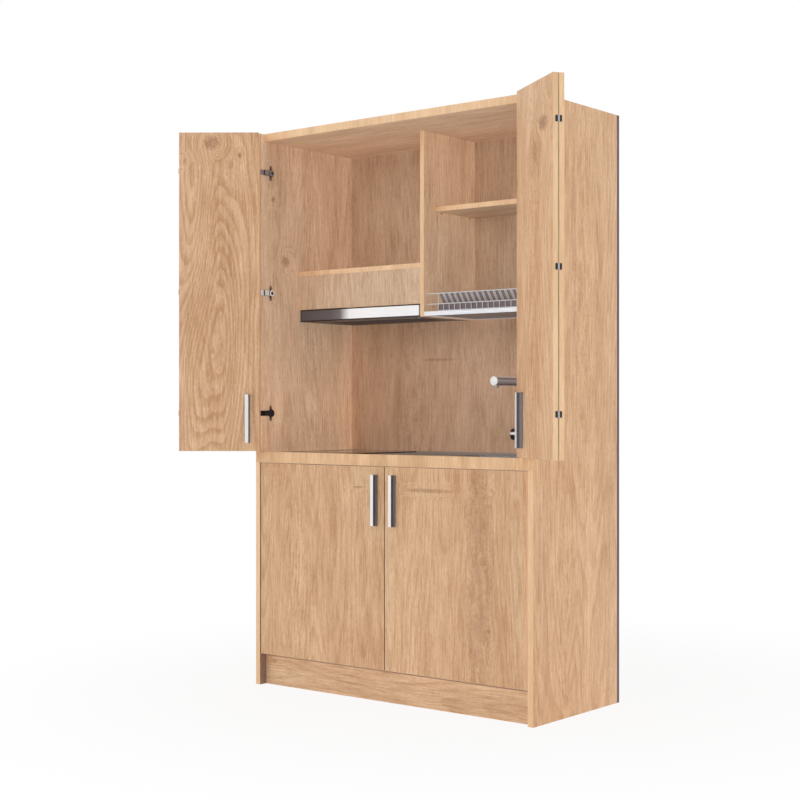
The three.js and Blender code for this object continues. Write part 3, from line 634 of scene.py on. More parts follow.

# %% [markdown]
# ## Doors
# Each folding pair has an outer and an inner leaf, and below are two plain doors. The knots and arches that
# the eye goes to first are placed on the inner leaves and on the right lower door; the other doors show
# another part of the same print. The inner leaves' print is brighter, which is painted light, and the left
# one's is lighter still towards the bottom. The two lower doors almost touch, and the narrow faces in that
# gap carry painted shade, as a gap between two doors is dark.

# %% Dressing the doors
board("left_outer_leaf", (18.3, 0.8), ease=LEAF_EASE)
board(
    "left_inner_leaf",
    (19.9, 1.9),
    [
        (0.120, 1.150, 0.036, 0.030, 0.6),
        (0.227, 1.103, 0.008, 0.012, 0.75),
        (0.022, 1.080, 0.008, 0.012, 0.4),
        (0.164, 0.62, 0.045, 0.30, 0),
        (0.10, 0.25, 0.05, 0.25, 0),
    ],
    tones=LIT_LEAF_OAK,
    figure=0.36,
    # painted light: the leaf's print is lighter towards the bottom
    below=[(0.60, 0.15, 1.065, 1.08, 1.09)],
    ease=LEAF_EASE,
)
board("right_outer_leaf", (21.4, 0.2), ease=LEAF_EASE)
board(
    "right_inner_leaf",
    (22.9, 2.5),
    [(0.22, 1.048, 0.040, 0.030, 0.65), (0.16, 0.96, 0.05, 0.08, 0.25), (0.12, 0.5, 0.05, 0.35, 0)],
    tones=LIT_LEAF_OAK,
    ease=LEAF_EASE,
)
left_door = board("lower_left_door", (24.7, 1.1), [(0.48, 0.64, 0.03, 0.004, 0.5), (0.2, 0.3, 0.07, 0.25, 0)])
# painted shade on the door's narrow face in the gap between the doors
painted(left_door, GAP_SHADE, facing(ACROSS))
door_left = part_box("lower_left_door")[0].x
# painted shadow on the door's bevel at its hinge side, in the gap beside the panel
painted(left_door, GAP_SHADOW, lambda face: face.center.x < door_left + BOARD_EASE and face.normal.y < -0.3)
right_door = board(
    "lower_right_door",
    (26.9, 0.5),
    [
        (0.19, 0.637, 0.13, 0.009, 0.5),
        (0.41, 0.36, 0.06, 0.7, 0.3),
        (0.43, 0.405, 0.012, 0.014, 0.5),
        (0.445, 0.18, 0.012, 0.016, 0.5),
    ],
)
# painted shade on the door's narrow face in the gap between the doors
painted(right_door, GAP_SHADE, facing(-ACROSS))
print("doors dressed")

# %% [markdown]
# ## The line where a pair folds
# Between the two leaves of a pair the narrow gap at the fold shows as a grey-green line of shade, which the
# soft lamps wash out, so it is painted. It lies in the leaves' meeting faces, right at the fold. A separate
# strip would tear when the leaves unfold, so each leaf carries its own half: the face is cut with a bisect,
# and the narrow part beside the fold gets the painted shade.

# %% Painted shade in the folds
FOLD_WIDTH = 2.2 * MM
SAME_WAY = 0.98  # two directions with a larger dot product are as good as one


def fold_edge(piece, flat, fold_line):
    """The narrow upright face of a leaf that lies at the fold."""
    narrow = [
        face for face in piece.data.polygons
        if abs(face.normal.dot(flat)) < 0.1 and abs(face.normal.z) < 0.1
    ]
    return max(
        narrow,
        key=lambda face: face.area / (0.01 + (Vector((*face.center[:2], 0)) - fold_line).length),
    )


for hand in ("left", "right"):
    fold_line = Vector((*joints[f"{hand}_fold_hinge"]["pos_m"][:2], 0))
    for leaf in ("outer", "inner"):
        piece = bpy.data.objects[f"{hand}_{leaf}_leaf_dressed"]
        flat = max(piece.data.polygons, key=lambda face: face.area).normal.copy()
        meeting = fold_edge(piece, flat, fold_line)
        if (meeting.center - fold_line).dot(flat) < 0:
            flat = -flat
        level = meeting.normal.copy()
        mark(piece, "FACE", facing(level, SAME_WAY))
        bpy.ops.mesh.bisect(plane_co=fold_line + flat * FOLD_WIDTH, plane_no=flat)
        leave_edit_mode()
        painted(piece, FOLD_SHADE, lambda face: (
            face.normal.dot(level) > SAME_WAY and abs((face.center - fold_line).dot(flat)) < FOLD_WIDTH))
print("shaded fold strips", round(FOLD_WIDTH / MM, 1), "mm wide")

# %% [markdown]
# ## Strips in the gaps
# A dark strip of painted shadow stands in the gap at the left door's hinge side, and a pale strip of painted
# light lies under the rail, where the gap shows a light line. Both are flat and thin, and only their front
# edge shows, so two plain blocks are enough.


# %% Strips in the gaps
def block(low, high):
    """A plain block between two corners, as the start of a piece."""
    low, high = Vector(low), Vector(high)
    bpy.ops.object.select_all(action="DESELECT")
    bpy.ops.mesh.primitive_cube_add(size=1, location=(low + high) / 2)
    obj = bpy.context.object
    obj.scale = high - low
    return settled(obj, "block")


door_low, door_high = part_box("lower_left_door")
rail_low, rail_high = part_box("front_rail")
side_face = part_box("left_side_panel")[1].x
STRIP_THICKNESS = 1.2 * MM
# a dark strip of painted shadow in the gap at the left door's hinge side
dust_strip = block(
    (side_face, door_low.y + 1 * MM, door_low.z),
    (side_face + STRIP_THICKNESS, door_high.y - 1 * MM, door_high.z),
)
# a pale strip of painted light, for the light line in the gap under the rail
rail_seal = block(
    (rail_low.x, rail_low.y + 1 * MM, rail_low.z - STRIP_THICKNESS),
    (rail_high.x, rail_low.y + 15 * MM, rail_low.z),
)
for strip, finish, name in ((dust_strip, GAP_SHADOW, "dust_strip"), (rail_seal, GAP_LIGHT, "rail_seal")):
    lay_grain(strip, (0.0, 0.0))
    settled(coloured(strip, finish), name)
    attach(strip, "root")
print("strips placed; door gap", round((door_low.x - side_face) / MM, 2), "mm")

# %% [markdown]
# ## Metals, plastics and glass
# Real metal shows only what it mirrors. Here most of the mirrored room is brown wood, while the photograph
# shows neutral greys, so each metal has a share of a plain grey tone, and the rest is mirror. Brushed steel
# has fine scratches all along one direction, so the noise that varies its tone and roughness is stretched
# that way. Plastics have a fine moulded grain. One function makes every metal and one every plastic, so that
# they belong together.

# %% Metal
SCRATCHES = 1400.0  # how often brushing changes in a metre, across it
SCRATCH_LENGTH = 9.0  # and along it
CAST_GRAIN = 300.0  # the same, in all directions, on a cast or polished metal


def metal(name, tint, roughness, along=None, scratch=0.10, metallic=1.0, fade=(), fade_axis=0):
    """A metal; along is the axis of its brushing, 0 to 2, or None for a cast or polished one.

    A metallic share below 1 leaves a part of the plain tone. A fade is a list of (place in metres, tone)
    along an axis, painted into the tone: a painted reflection, where a piece mirrors something beside it, and
    painted shade on the hood's casing.
    """
    steel = new_finish(name)
    spot = steel.place()
    stretch = [CAST_GRAIN if along is None else SCRATCHES] * 3
    if along is not None:
        stretch[along] = SCRATCH_LENGTH
    hair = steel.noise(steel.vector(*(s * by for s, by in zip(spot, stretch)))) - 0.5
    touched = steel.noise(steel.vector(*(s * 7 for s in spot)), 3.0) - 0.5
    shade = (hair * 0.5 + touched * 0.5 + 0.5).step(0.2, 0.8)
    base = steel.mix(shade, dimmed(tint, 0.88), tint)
    if fade:
        start, length = fade[0][0], fade[-1][0] - fade[0][0]
        stops = [((place - start) / length, tone) for place, tone in fade]
        tones = steel.ramp((spot[fade_axis] - start) / length, stops)
        base = steel.mix(1.0, base, tones, blend="MULTIPLY")
    rough = (hair * scratch * 2 + touched * 0.08 + roughness).most(0.02)
    return steel.made(
        Base_Color=base, Metallic=metallic, Roughness=rough, Normal=steel.bump(hair, 0.12, 0.05 * MM)
    )


print("metal is scratched", round(SCRATCHES / SCRATCH_LENGTH), "times finer across its brushing")

# %% Plastic
MOULDED_GRAIN = 900.0  # how often it changes in a metre


def plastic(name, tint, roughness=0.45):
    """A moulded plastic with a fine grain."""
    mould = new_finish(name)
    spot = mould.place()
    pits = mould.noise(mould.vector(*(s * MOULDED_GRAIN for s in spot)), 1.0) - 0.5
    cloud = mould.noise(mould.vector(*(s * 14 for s in spot)))
    base = mould.mix(cloud, dimmed(tint, 0.92), tint)
    normal = mould.bump(pits, 0.25, 0.05 * MM)
    return mould.made(Base_Color=base, Roughness=pits * 0.1 + roughness, Normal=normal)


print("plastic has a grain of", round(1 / MOULDED_GRAIN / MM, 1), "mm")

# %% Finishes of the fittings
SATIN_STEEL = metal("satin steel", colour(146, 141, 137), 0.32, along=0, metallic=0.3)
BOWL_STEEL = metal("bowl steel", colour(186, 187, 189), 0.24, metallic=0.8)
CHROME = metal("chrome", colour(178, 175, 176), 0.07, scratch=0.01, metallic=0.65)
BRIGHT_WIRE = metal("bright wire", colour(214, 212, 213), 0.22, scratch=0.03, metallic=0.35)
GREY_WIRE = metal("grey wire", colour(206, 203, 205), 0.25, scratch=0.03, metallic=0.2)
SHADE_WIRE = metal("dark wire", colour(128, 126, 132), 0.25, scratch=0.03, metallic=0.15)
RACK_SHADE = metal("strip metal", colour(112, 100, 102), 0.4, metallic=0.15)
BARREL_STEEL = metal("barrel steel", colour(184, 178, 184), 0.25, scratch=0.03, metallic=0.3)
ALUMINIUM = metal("satin aluminium", colour(240, 239, 238), 0.34, along=2, metallic=0.4)
FLANK_SHADE = metal("handle flank", colour(86, 81, 83), 0.5, along=2, metallic=0.1)
WEB_SHADE = metal("handle base", colour(122, 124, 127), 0.5, along=2, metallic=0.06)
RAIL_ALUMINIUM = metal("rail aluminium", colour(238, 240, 244), 0.28, along=0, metallic=0.4)
FILTER_METAL = metal("filter metal", colour(84, 77, 75), 0.35, metallic=0.3)
NICKEL = metal("hinge nickel", colour(148, 144, 145), 0.30, scratch=0.05, metallic=0.35)
LIT_NICKEL = metal("pale hinge nickel", colour(232, 230, 232), 0.30, scratch=0.05, metallic=0.2)
SHADOW_NICKEL = metal("dark hinge nickel", colour(78, 66, 58), 0.4, scratch=0.05, metallic=0.2)
BLACK_METAL = metal("black metal", colour(30, 26, 27), 0.42, metallic=0.15)
BROWN_METAL = metal("brown plate", colour(140, 110, 94), 0.42, metallic=0.2)
CASING_PAINT = metal("hob casing", colour(52, 52, 54), 0.5, metallic=0.3)
GREY_PLASTIC = plastic("grey plastic", colour(138, 138, 140))
BLACK_PLASTIC = plastic("black plastic", colour(38, 38, 40), 0.5)
WHITE_PLASTIC = plastic("white plastic", colour(238, 238, 233), 0.4)
SMOKED_PLASTIC = plastic("smoked lamp cover", colour(116, 108, 106), 0.3)
AERATOR_MESH = plastic("aerator insert", colour(58, 58, 60), 0.4)
print("fitting finishes ready")

# %% [markdown]
# ## Hob
# The hob is a sheet of black glass with a steel casing under it. Its two rings and the small marks of the
# touch keys are printed. They could be a picture, but circles are easily calculated: a point belongs to a
# ring if its distance from the centre is close to the radius. The casing's underside gets a shallow tray by
# an inset.


# %% The hob's glass
def hob_surface(zones, line):
    """Black glass with thin printed rings; a zone is (x, y, radius)."""
    glass = new_finish("hob glass")
    x, y, z = glass.place()
    smear = glass.noise(glass.vector(x * 9, y * 9, z * 9), 3.0)
    print_mask = None
    for centre_x, centre_y, radius in zones:
        away = ((x - centre_x) ** 2 + (y - centre_y) ** 2).root()
        ring = (away - radius).abs().step(line, line * 0.5)
        print_mask = ring if print_mask is None else print_mask.most(ring)
    base = glass.mix(print_mask, colour(15, 15, 17), colour(150, 150, 152))
    return glass.made(Base_Color=base, Roughness=smear * 0.06 + 0.03 + print_mask * 0.25)


glass_low, glass_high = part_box("hob_glass")
glass_x = middle("hob_glass")[0]
LARGE_ZONE = 95 * MM
SMALL_ZONE = 75 * MM
ZONE_MARGIN = 28 * MM
TOUCH_RING = 7 * MM
TOUCH_MARGIN = 20 * MM
TOUCH_PITCH = 34 * MM
PRINTED_LINE = 1.2 * MM
zone_marks = [
    (glass_x, glass_high.y - ZONE_MARGIN - LARGE_ZONE, LARGE_ZONE),
    (glass_x, glass_high.y - ZONE_MARGIN * 1.6 - 2 * LARGE_ZONE - SMALL_ZONE, SMALL_ZONE),
]
for step in (-1.5, -0.5, 0.5, 1.5):
    zone_marks.append((glass_x + step * TOUCH_PITCH, glass_low.y + TOUCH_MARGIN, TOUCH_RING))
HOB_GLASS = hob_surface(zone_marks, PRINTED_LINE)
plate = eased(copy_of("hob_glass", "hob_glass_plate"), 1.2 * MM, segments=3)
fitted(coloured(plate, HOB_GLASS), "hob_glass_plate", "hob_glass")
print("hob marks:", len(zone_marks))

# %% The hob's casing
casing = copy_of("hob_body", "hob_casing")
mark(casing, "FACE", facing(-UP))
bpy.ops.mesh.inset(thickness=22 * MM, depth=0)
bpy.ops.mesh.inset(thickness=5 * MM, depth=-4 * MM)
leave_edit_mode()
eased(casing, 1.5 * MM)
fitted(coloured(casing, CASING_PAINT), "hob_casing", "hob_body")
print("hob casing faces:", len(casing.data.polygons))

# %% [markdown]
# ## Screws
# Small screws hold the hinges and plates. A screw is round, and so are most of the fittings that follow, so a
# helper works like a lathe: it starts with a circle and grows it ring by ring with extrude and resize. A
# spin of a drawn profile would give the same shape. One screw head is modelled, with a cross recess cut by a
# Boolean modifier. The others are copies of it.


# %% A lathe, copies and modifiers
def turned(profile, start=(0, 0, 0), direction=UP, sides=48):
    """A round piece, grown ring by ring from (radius, height) pairs along a direction, as on a lathe."""
    (first_radius, first_height), *rest = profile
    bpy.ops.object.select_all(action="DESELECT")
    bpy.ops.mesh.primitive_circle_add(
        vertices=sides, radius=first_radius, location=(0, 0, first_height), fill_type="NGON"
    )
    obj = settled(bpy.context.object, "turned")
    bpy.ops.object.mode_set(mode="EDIT")
    bpy.ops.mesh.select_mode(type="FACE")
    bpy.ops.mesh.select_all(action="SELECT")
    radius, height = first_radius, first_height
    for next_radius, next_height in rest:
        bpy.ops.mesh.extrude_region_move(TRANSFORM_OT_translate={"value": (0, 0, next_height - height)})
        scale = next_radius / radius
        bpy.ops.transform.resize(value=(scale, scale, 1))
        radius, height = next_radius, next_height
    bpy.ops.mesh.select_all(action="SELECT")
    bpy.ops.mesh.normals_make_consistent(inside=False)
    leave_edit_mode()
    obj.rotation_mode = "QUATERNION"
    obj.rotation_quaternion = Vector(direction).to_track_quat("Z", "Y")
    obj.location = start
    return smooth(settled(obj, "turned"), 30)


def joined(*parts):
    """Several parts as one piece."""
    pick(*parts)
    if len(parts) > 1:
        bpy.ops.object.join()
    return bpy.context.object


def copied(master, place):
    """A copy of a piece, moved and turned by a matrix, with a mesh of its own."""
    pick(master)
    bpy.ops.object.duplicate()
    copy = bpy.context.object
    copy.matrix_world = place
    return settled(copy, f"{master.name}_copy")


def applied(obj, kind, **settings):
    """Adds a modifier with some settings and applies it."""
    pick(obj)
    modifier = obj.modifiers.new(kind.lower(), kind)
    for key, value in settings.items():
        setattr(modifier, key, value)
    bpy.ops.object.modifier_apply(modifier=modifier.name)
    return obj


def cut_by(obj, cutter):
    """Takes the cutter's shape out of a piece and removes the cutter."""
    applied(obj, "BOOLEAN", object=cutter, operation="DIFFERENCE")
    bpy.data.objects.remove(cutter)
    return obj


def turn_to(direction):
    """The turn that brings the Z axis to a direction."""
    return Vector(direction).to_track_quat("Z", "Y").to_matrix().to_4x4()


print("lathe, copies and modifiers ready")

# %% The screw
SCREW_RADIUS = 3.6 * MM
SCREW_PROUD = 1.0 * MM


def screw_master():
    """A screw head at the origin that looks up."""
    head = turned(
        [(SCREW_RADIUS * 0.6, -0.6 * MM), (SCREW_RADIUS, -0.4 * MM), (SCREW_RADIUS, SCREW_PROUD * 0.6),
         (SCREW_RADIUS * 0.8, SCREW_PROUD)],
        sides=20,
    )
    wing, half = SCREW_RADIUS * 0.62, 0.5 * MM
    bottom, top = SCREW_PROUD * 0.3, SCREW_PROUD * 2
    for x, y in ((wing, half), (half, wing)):
        cut_by(head, block((-x, -y, bottom), (x, y, top)))
    head.name = "screw"
    return head


SCREW = screw_master()


def screw(place, direction, size):
    """A copy of the screw head at a place, looking along a direction."""
    return copied(SCREW, Matrix.Translation(place) @ turn_to(direction) @ Matrix.Scale(size, 4))


print("screw faces:", len(SCREW.data.polygons))

# %% [markdown]
# ## Concealed hinges
# A concealed hinge has a plate with two wings on the side panel, an arm that reaches forward, and a cup sunk
# in the door. One plate with its arm is modelled for the left side, then copied; on the right side it is
# turned half round and not mirrored, because a mirrored mesh is inside out. A thin strap runs on from the arm
# to the panel's front edge. The sides of the metal and the middle of its boss carry painted shade, because
# they look into the gap between door and panel. The three hinges on each side panel are one part in three
# tones: the middle one is a paler nickel, which is painted light, and the lowest one is black, which is
# painted shade.

# %% The hinge on the side panel
WING_LOW, WING_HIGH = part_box("left_side_hinge_top")
HINGE_SIZE = WING_HIGH - WING_LOW
ARM_HALF = 10 * MM
ARM_PROUD = 8 * MM
BOSS_RADIUS = 14 * MM
SOCKET_RADIUS = 5.5 * MM  # of the dark middle of the boss
STRAP_LENGTH = 17 * MM
STRAP_THICKNESS = 1.2 * MM
boss_depth = HINGE_SIZE.y - BOSS_RADIUS


def level_of(node):
    """The height of a node's middle."""
    return middle(node)[2]


def hinge_master(name, strap):
    """A hinge plate at the origin: x stands out of the panel, y runs from the arm's front to the wall."""
    wing_half, wing_proud = 5 * MM, 3 * MM
    half_height = HINGE_SIZE.z / 2
    plate = block(
        (0, boss_depth - wing_half, -half_height), (wing_proud, boss_depth + wing_half, half_height)
    )
    mark(plate, "EDGE", running(ACROSS, 1 * MM))
    bpy.ops.mesh.bevel(offset=wing_half, segments=6, affect="EDGES")
    leave_edit_mode()
    eased(plate, 0.7 * MM, segments=2)
    arm = block((0, 0, -ARM_HALF), (ARM_PROUD, boss_depth, ARM_HALF))
    mark(arm, "FACE", facing(ACROSS))
    bpy.ops.mesh.inset(thickness=2.6 * MM, depth=0)
    bpy.ops.mesh.inset(thickness=0.6 * MM, depth=-1.6 * MM)
    leave_edit_mode()
    eased(arm, 1.1 * MM, segments=3)
    proud = HINGE_SIZE.x
    boss = turned(
        [(BOSS_RADIUS, 0), (BOSS_RADIUS, proud - 2.2 * MM), (BOSS_RADIUS - 1.6 * MM, proud - 0.6 * MM),
         (BOSS_RADIUS - 4.5 * MM, proud), (7 * MM, proud), (6.2 * MM, proud - 1.2 * MM)],
        start=(0, boss_depth, 0),
        direction=ACROSS,
        sides=36,
    )
    screw_height = half_height - 7 * MM
    parts = [plate, arm, boss] + [screw(place, ACROSS, size) for place, size in (
        ((proud - 1.2 * MM, boss_depth, 0), 1.3),
        ((ARM_PROUD - 1.8 * MM, boss_depth * 0.34, 0), 1.2),
        ((wing_proud, boss_depth, -screw_height), 1.15),
        ((wing_proud, boss_depth, screw_height), 1.15),
    )]
    if strap:
        band = block((0, -STRAP_LENGTH, -ARM_HALF), (STRAP_THICKNESS, 1 * MM, ARM_HALF))
        parts.append(eased(band, 0.4 * MM))
    whole = joined(*parts)
    whole.name = name
    return whole


with_strap = hinge_master("hinge with strap", True)
without_strap = hinge_master("hinge", False)
print("hinge faces:", len(with_strap.data.polygons))


# %% Hinges in their places
def hinge_at(master, node, material):
    """A copy of the master in a node's place, with brown wings and painted shade on the faces towards the
    gap.
    """
    low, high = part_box(node)
    level = level_of(node)
    if low.x < 0:
        place = Matrix.Translation((low.x, low.y, level))
    else:
        place = Matrix.Translation((high.x, low.y, level)) @ Matrix.Rotation(math.pi, 4, "Y")
    plate = coloured(copied(master, place), material)
    if material is not BLACK_METAL:
        axis = Vector((low.y + boss_depth, level))
        painted(plate, SHADOW_NICKEL, lambda face: (
            abs(face.normal.x) < 0.75 or (Vector(face.center[1:]) - axis).length < SOCKET_RADIUS))
    painted(plate, BROWN_METAL, lambda face: abs(face.center.z - level) > BOSS_RADIUS + 0.5 * MM)
    fitted(plate, f"{node}_plate", node)


for hand in ("left", "right"):
    # the middle hinge gets painted light, a paler nickel, and the lowest one painted shade, black
    hinge_at(with_strap, f"{hand}_side_hinge_top", NICKEL)
    hinge_at(with_strap, f"{hand}_side_hinge_middle", LIT_NICKEL)
    hinge_at(with_strap, f"{hand}_side_hinge_bottom", BLACK_METAL)
    for level in ("top", "bottom"):
        hinge_at(without_strap, f"lower_{hand}_hinge_{level}", NICKEL)
print("hinge plates placed")

# %% [markdown]
# ## Door frames and hinge cups
# The upper doors stand open, so what sits in them is turned with them. A door's own frame has its origin on
# the hinge line and its back towards +Y when it is closed. The joint's place and range give that frame. The
# cups are turned as on the lathe and carried into place by it; they sit in the pockets that the doors have.
# A cup isn't the hinge plate's node, so it rides on the door and replaces nothing.

# %% Where the doors stand
CUP_RADIUS = 17.2 * MM
CUP_DEPTH = 12.0 * MM
CUP_FROM_EDGE = 22.5 * MM
DOOR_THICKNESS = 18 * MM


def door_frame(joint_name, stands_open):
    """The door's place as it stands: on its hinge line, turned by the joint's whole range if it is open."""
    joint = joints[joint_name]
    turn = -joint["axis"][2] * math.radians(joint["range_deg"][1]) if stands_open else 0.0
    return Matrix.Translation(joint["pos_m"]) @ Matrix.Rotation(turn, 4, "Z")


def near_edge(node, place):
    """Where the door's hinge-side edge lies in its own frame, with its sign."""
    inverse = place.inverted()
    reach = [(inverse @ vertex.co).x for vertex in nodes[node].data.vertices]
    return min(reach, key=abs)


door_frames = {
    "left_outer_leaf": door_frame("left_outer_hinge", True),
    "right_outer_leaf": door_frame("right_outer_hinge", True),
    "lower_left_door": door_frame("lower_left_door_hinge", False),
    "lower_right_door": door_frame("lower_right_door_hinge", False),
}
print("doors with cups:", ", ".join(door_frames))


# %% Cups
def cup_master():
    """A cup with its bridge at the origin, open towards +Z."""
    cup = turned(
        [(CUP_RADIUS - 1.5 * MM, -CUP_DEPTH), (CUP_RADIUS, -CUP_DEPTH + 1.5 * MM), (CUP_RADIUS, -0.9 * MM),
         (CUP_RADIUS - 0.6 * MM, -0.1 * MM), (CUP_RADIUS - 2.2 * MM, -0.1 * MM),
         (CUP_RADIUS - 2.8 * MM, -0.8 * MM), (CUP_RADIUS - 3.4 * MM, -CUP_DEPTH + 2.5 * MM),
         (3 * MM, -CUP_DEPTH + 2.0 * MM)],
        sides=36,
    )
    bridge = block((-3 * MM, -13 * MM, -7 * MM), (3 * MM, 13 * MM, -3.5 * MM))
    cup = joined(cup, eased(bridge, 1 * MM, segments=3))
    cup.name = "cup"
    return cup


CUP = cup_master()
for door, place in door_frames.items():
    edge = near_edge(door, place)
    inward = 1 if "left" in door else -1
    prefix = "lower_left_hinge" if door == "lower_left_door" else "lower_right_hinge"
    if door.endswith("leaf"):
        prefix = door.replace("outer_leaf", "side_hinge")
    for node in (name for name in nodes if name.startswith(prefix)):
        spot = Vector((edge + inward * CUP_FROM_EDGE, DOOR_THICKNESS, level_of(node) - place.translation.z))
        cup = copied(CUP, place @ Matrix.Translation(spot) @ turn_to(TO_WALL))
        # the lowest cup is black, painted shade as on its hinge
        finish = BLACK_METAL if node.endswith("side_hinge_bottom") else NICKEL
        fitted(coloured(cup, finish), f"{node}_cup", node, replaced=False, body=door)
print("cup faces:", len(CUP.data.polygons))

# %% [markdown]
# ## Fold hinges
# Three small hinges join the two leaves of a pair. Each has a barrel between two plates with screws, one
# plate on each leaf's edge. The barrel and the first plate turn with the outer leaf, and the second plate
# with the inner leaf. So the first two are one piece and the third is another: a single mesh would tear.

# %% Barrels and plates
BARREL_RADIUS = 3.4 * MM
PLATE_HALF = 10 * MM
PLATE_REACH = 11 * MM
PLATE_FROM, PLATE_TO = 0.3 * MM, 1.2 * MM  # from the fold line towards the leaf's edge
KNUCKLES = 3
KNUCKLE_EASE = 0.35 * MM
SCREW_REACH, SCREW_LEVEL = 7.2 * MM, 5 * MM  # from the barrel's axis and its middle


def fold_plate(inward, side):
    """A plate beside the barrel; side is -1 for the outer leaf's and 1 for the inner leaf's."""
    x = sorted((-inward * PLATE_FROM, -inward * PLATE_TO))
    y = sorted((side * BARREL_RADIUS * 0.55, side * PLATE_REACH))
    plate = block((x[0], y[0], -PLATE_HALF), (x[1], y[1], PLATE_HALF))
    mark(plate, "EDGE", running(ACROSS, 0.5 * MM))
    bpy.ops.mesh.bevel(offset=1.2 * MM, segments=3, affect="EDGES")
    leave_edit_mode()
    eased(plate, 0.2 * MM, segments=1)
    heads = [
        screw((-inward * PLATE_FROM, side * SCREW_REACH, z), (inward, 0, 0), 0.55)
        for z in (-SCREW_LEVEL, SCREW_LEVEL)
    ]
    return joined(plate, *heads)


def fold_barrel():
    """Three knuckles in a row, with a groove between each two."""
    profile = [(BARREL_RADIUS * 0.7, -PLATE_HALF)]
    length = 2 * PLATE_HALF / KNUCKLES
    for i in range(KNUCKLES):
        low = -PLATE_HALF + i * length
        profile += [
            (BARREL_RADIUS, low + KNUCKLE_EASE),
            (BARREL_RADIUS, low + length - KNUCKLE_EASE),
            (BARREL_RADIUS * 0.72, low + length),
        ]
    return turned(profile, sides=28)


for hand, inward in (("left", 1), ("right", -1)):
    fold = joints[f"{hand}_fold_hinge"]
    turn = door_frames[f"{hand}_outer_leaf"].to_euler().z
    for level in ("top", "middle", "bottom"):
        node = f"{hand}_fold_hinge_{level}"
        line = Matrix.Translation((*fold["pos_m"][:2], level_of(node))) @ Matrix.Rotation(turn, 4, "Z")
        outer_plate = coloured(fold_plate(inward, -1), BLACK_METAL)
        whole = joined(outer_plate, coloured(fold_barrel(), BARREL_STEEL))
        whole.matrix_world = line
        fitted(whole, f"{node}_barrel", node)
        inner_plate = coloured(fold_plate(inward, 1), BLACK_METAL)
        inner_plate.matrix_world = line
        fitted(inner_plate, f"{node}_second_plate", node, replaced=False, body=f"{hand}_inner_leaf")
print("fold hinges dressed")

# %% [markdown]
# ## Handles
# A handle is a bar of satin aluminium. Its grip stands on a web that is set a little to one side, so it can
# be held from the other side. The front of the grip is bright, and its flanks and the web carry painted
# shade, dark on the flanks and grey on the web. The frame's handle has this section already, so a copy is
# eased. Its faces are then told apart by where they look and how far forward they lie, measured from the
# door's front, so one function serves all four doors.

# %% Dressing the handles
GRIP_THICKNESS = 10 * MM
GRIP_EASE = 0.7 * MM


def front_of(door, centre):
    """The way a door's largest face looks, on the side where a handle's centre lies."""
    areas = {}
    for face in nodes[door].data.polygons:
        key = tuple(round(c, 3) for c in face.normal)
        areas[key] = areas.get(key, 0.0) + face.area
    normal = Vector(max(areas, key=areas.get)).normalized()
    low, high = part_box(door)
    return normal if (centre - (low + high) / 2).dot(normal) > 0 else -normal


def handle(node, door):
    """A handle of the frame, eased and painted."""
    piece = copy_of(node, f"{node}_bar")
    centre = sum((vertex.co for vertex in piece.data.vertices), Vector()) / len(piece.data.vertices)
    front = front_of(door, centre)
    beside = UP.cross(front)
    foremost = max(vertex.co.dot(front) for vertex in piece.data.vertices)
    eased(piece, GRIP_EASE, segments=3)
    # painted shade: the flanks are dark and the web grey, and only the grip's front keeps the bright
    # aluminium
    coloured(piece, FLANK_SHADE)
    painted(piece, ALUMINIUM, lambda face: face.center.dot(front) > foremost - GRIP_EASE - 0.05 * MM)
    painted(piece, WEB_SHADE, lambda face: (
        abs(face.normal.dot(beside)) > 0.8 and face.center.dot(front) < foremost - GRIP_THICKNESS))
    return fitted(piece, f"{node}_bar", node)


for hand in ("left", "right"):
    handle(f"{hand}_upper_handle", f"{hand}_inner_leaf")
    handle(f"lower_{hand}_handle", f"lower_{hand}_door")
print("handles dressed")

# %% [markdown]
# ## Worktop and sink
# The worktop is one folded sheet of satin steel with a raised rim and a few pressed ribs for wet dishes. Its
# shape is right in the frame, so a copy with eased edges is enough. The bowl is pressed from a sheet, so it
# has round corners and a floor that runs over into the walls. It starts as a block without a top, gets its
# corners by bevels and its flange by an extrusion of the open rim, and gets its wall from a Solidify
# modifier. The drain hole is cut last, so that it goes through both sides of the wall.

# %% Worktop
worktop = eased(copy_of("steel_worktop", "worktop_sheet"), 0.8 * MM, shortest=6 * MM)
fitted(coloured(worktop, SATIN_STEEL), "worktop_sheet", "steel_worktop")
print("worktop faces:", len(worktop.data.polygons))

# %% Sink bowl
BOWL_WALL = 1.6 * MM
BOWL_CORNER = 60 * MM
BOWL_FLOOR_ROUND = 26 * MM
BOWL_FLANGE = 14 * MM
FLOOR_INSET = 30 * MM
DRAIN_RADIUS = 42 * MM

bowl_low, bowl_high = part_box("sink_bowl")
inner_low = Vector((bowl_low.x + BOWL_FLANGE, bowl_low.y + BOWL_FLANGE, bowl_low.z + 2 * MM))
inner_high = Vector((bowl_high.x - BOWL_FLANGE, bowl_high.y - BOWL_FLANGE, bowl_high.z))
drain_x, drain_y = (inner_low.x + inner_high.x) / 2, (inner_low.y + inner_high.y) / 2

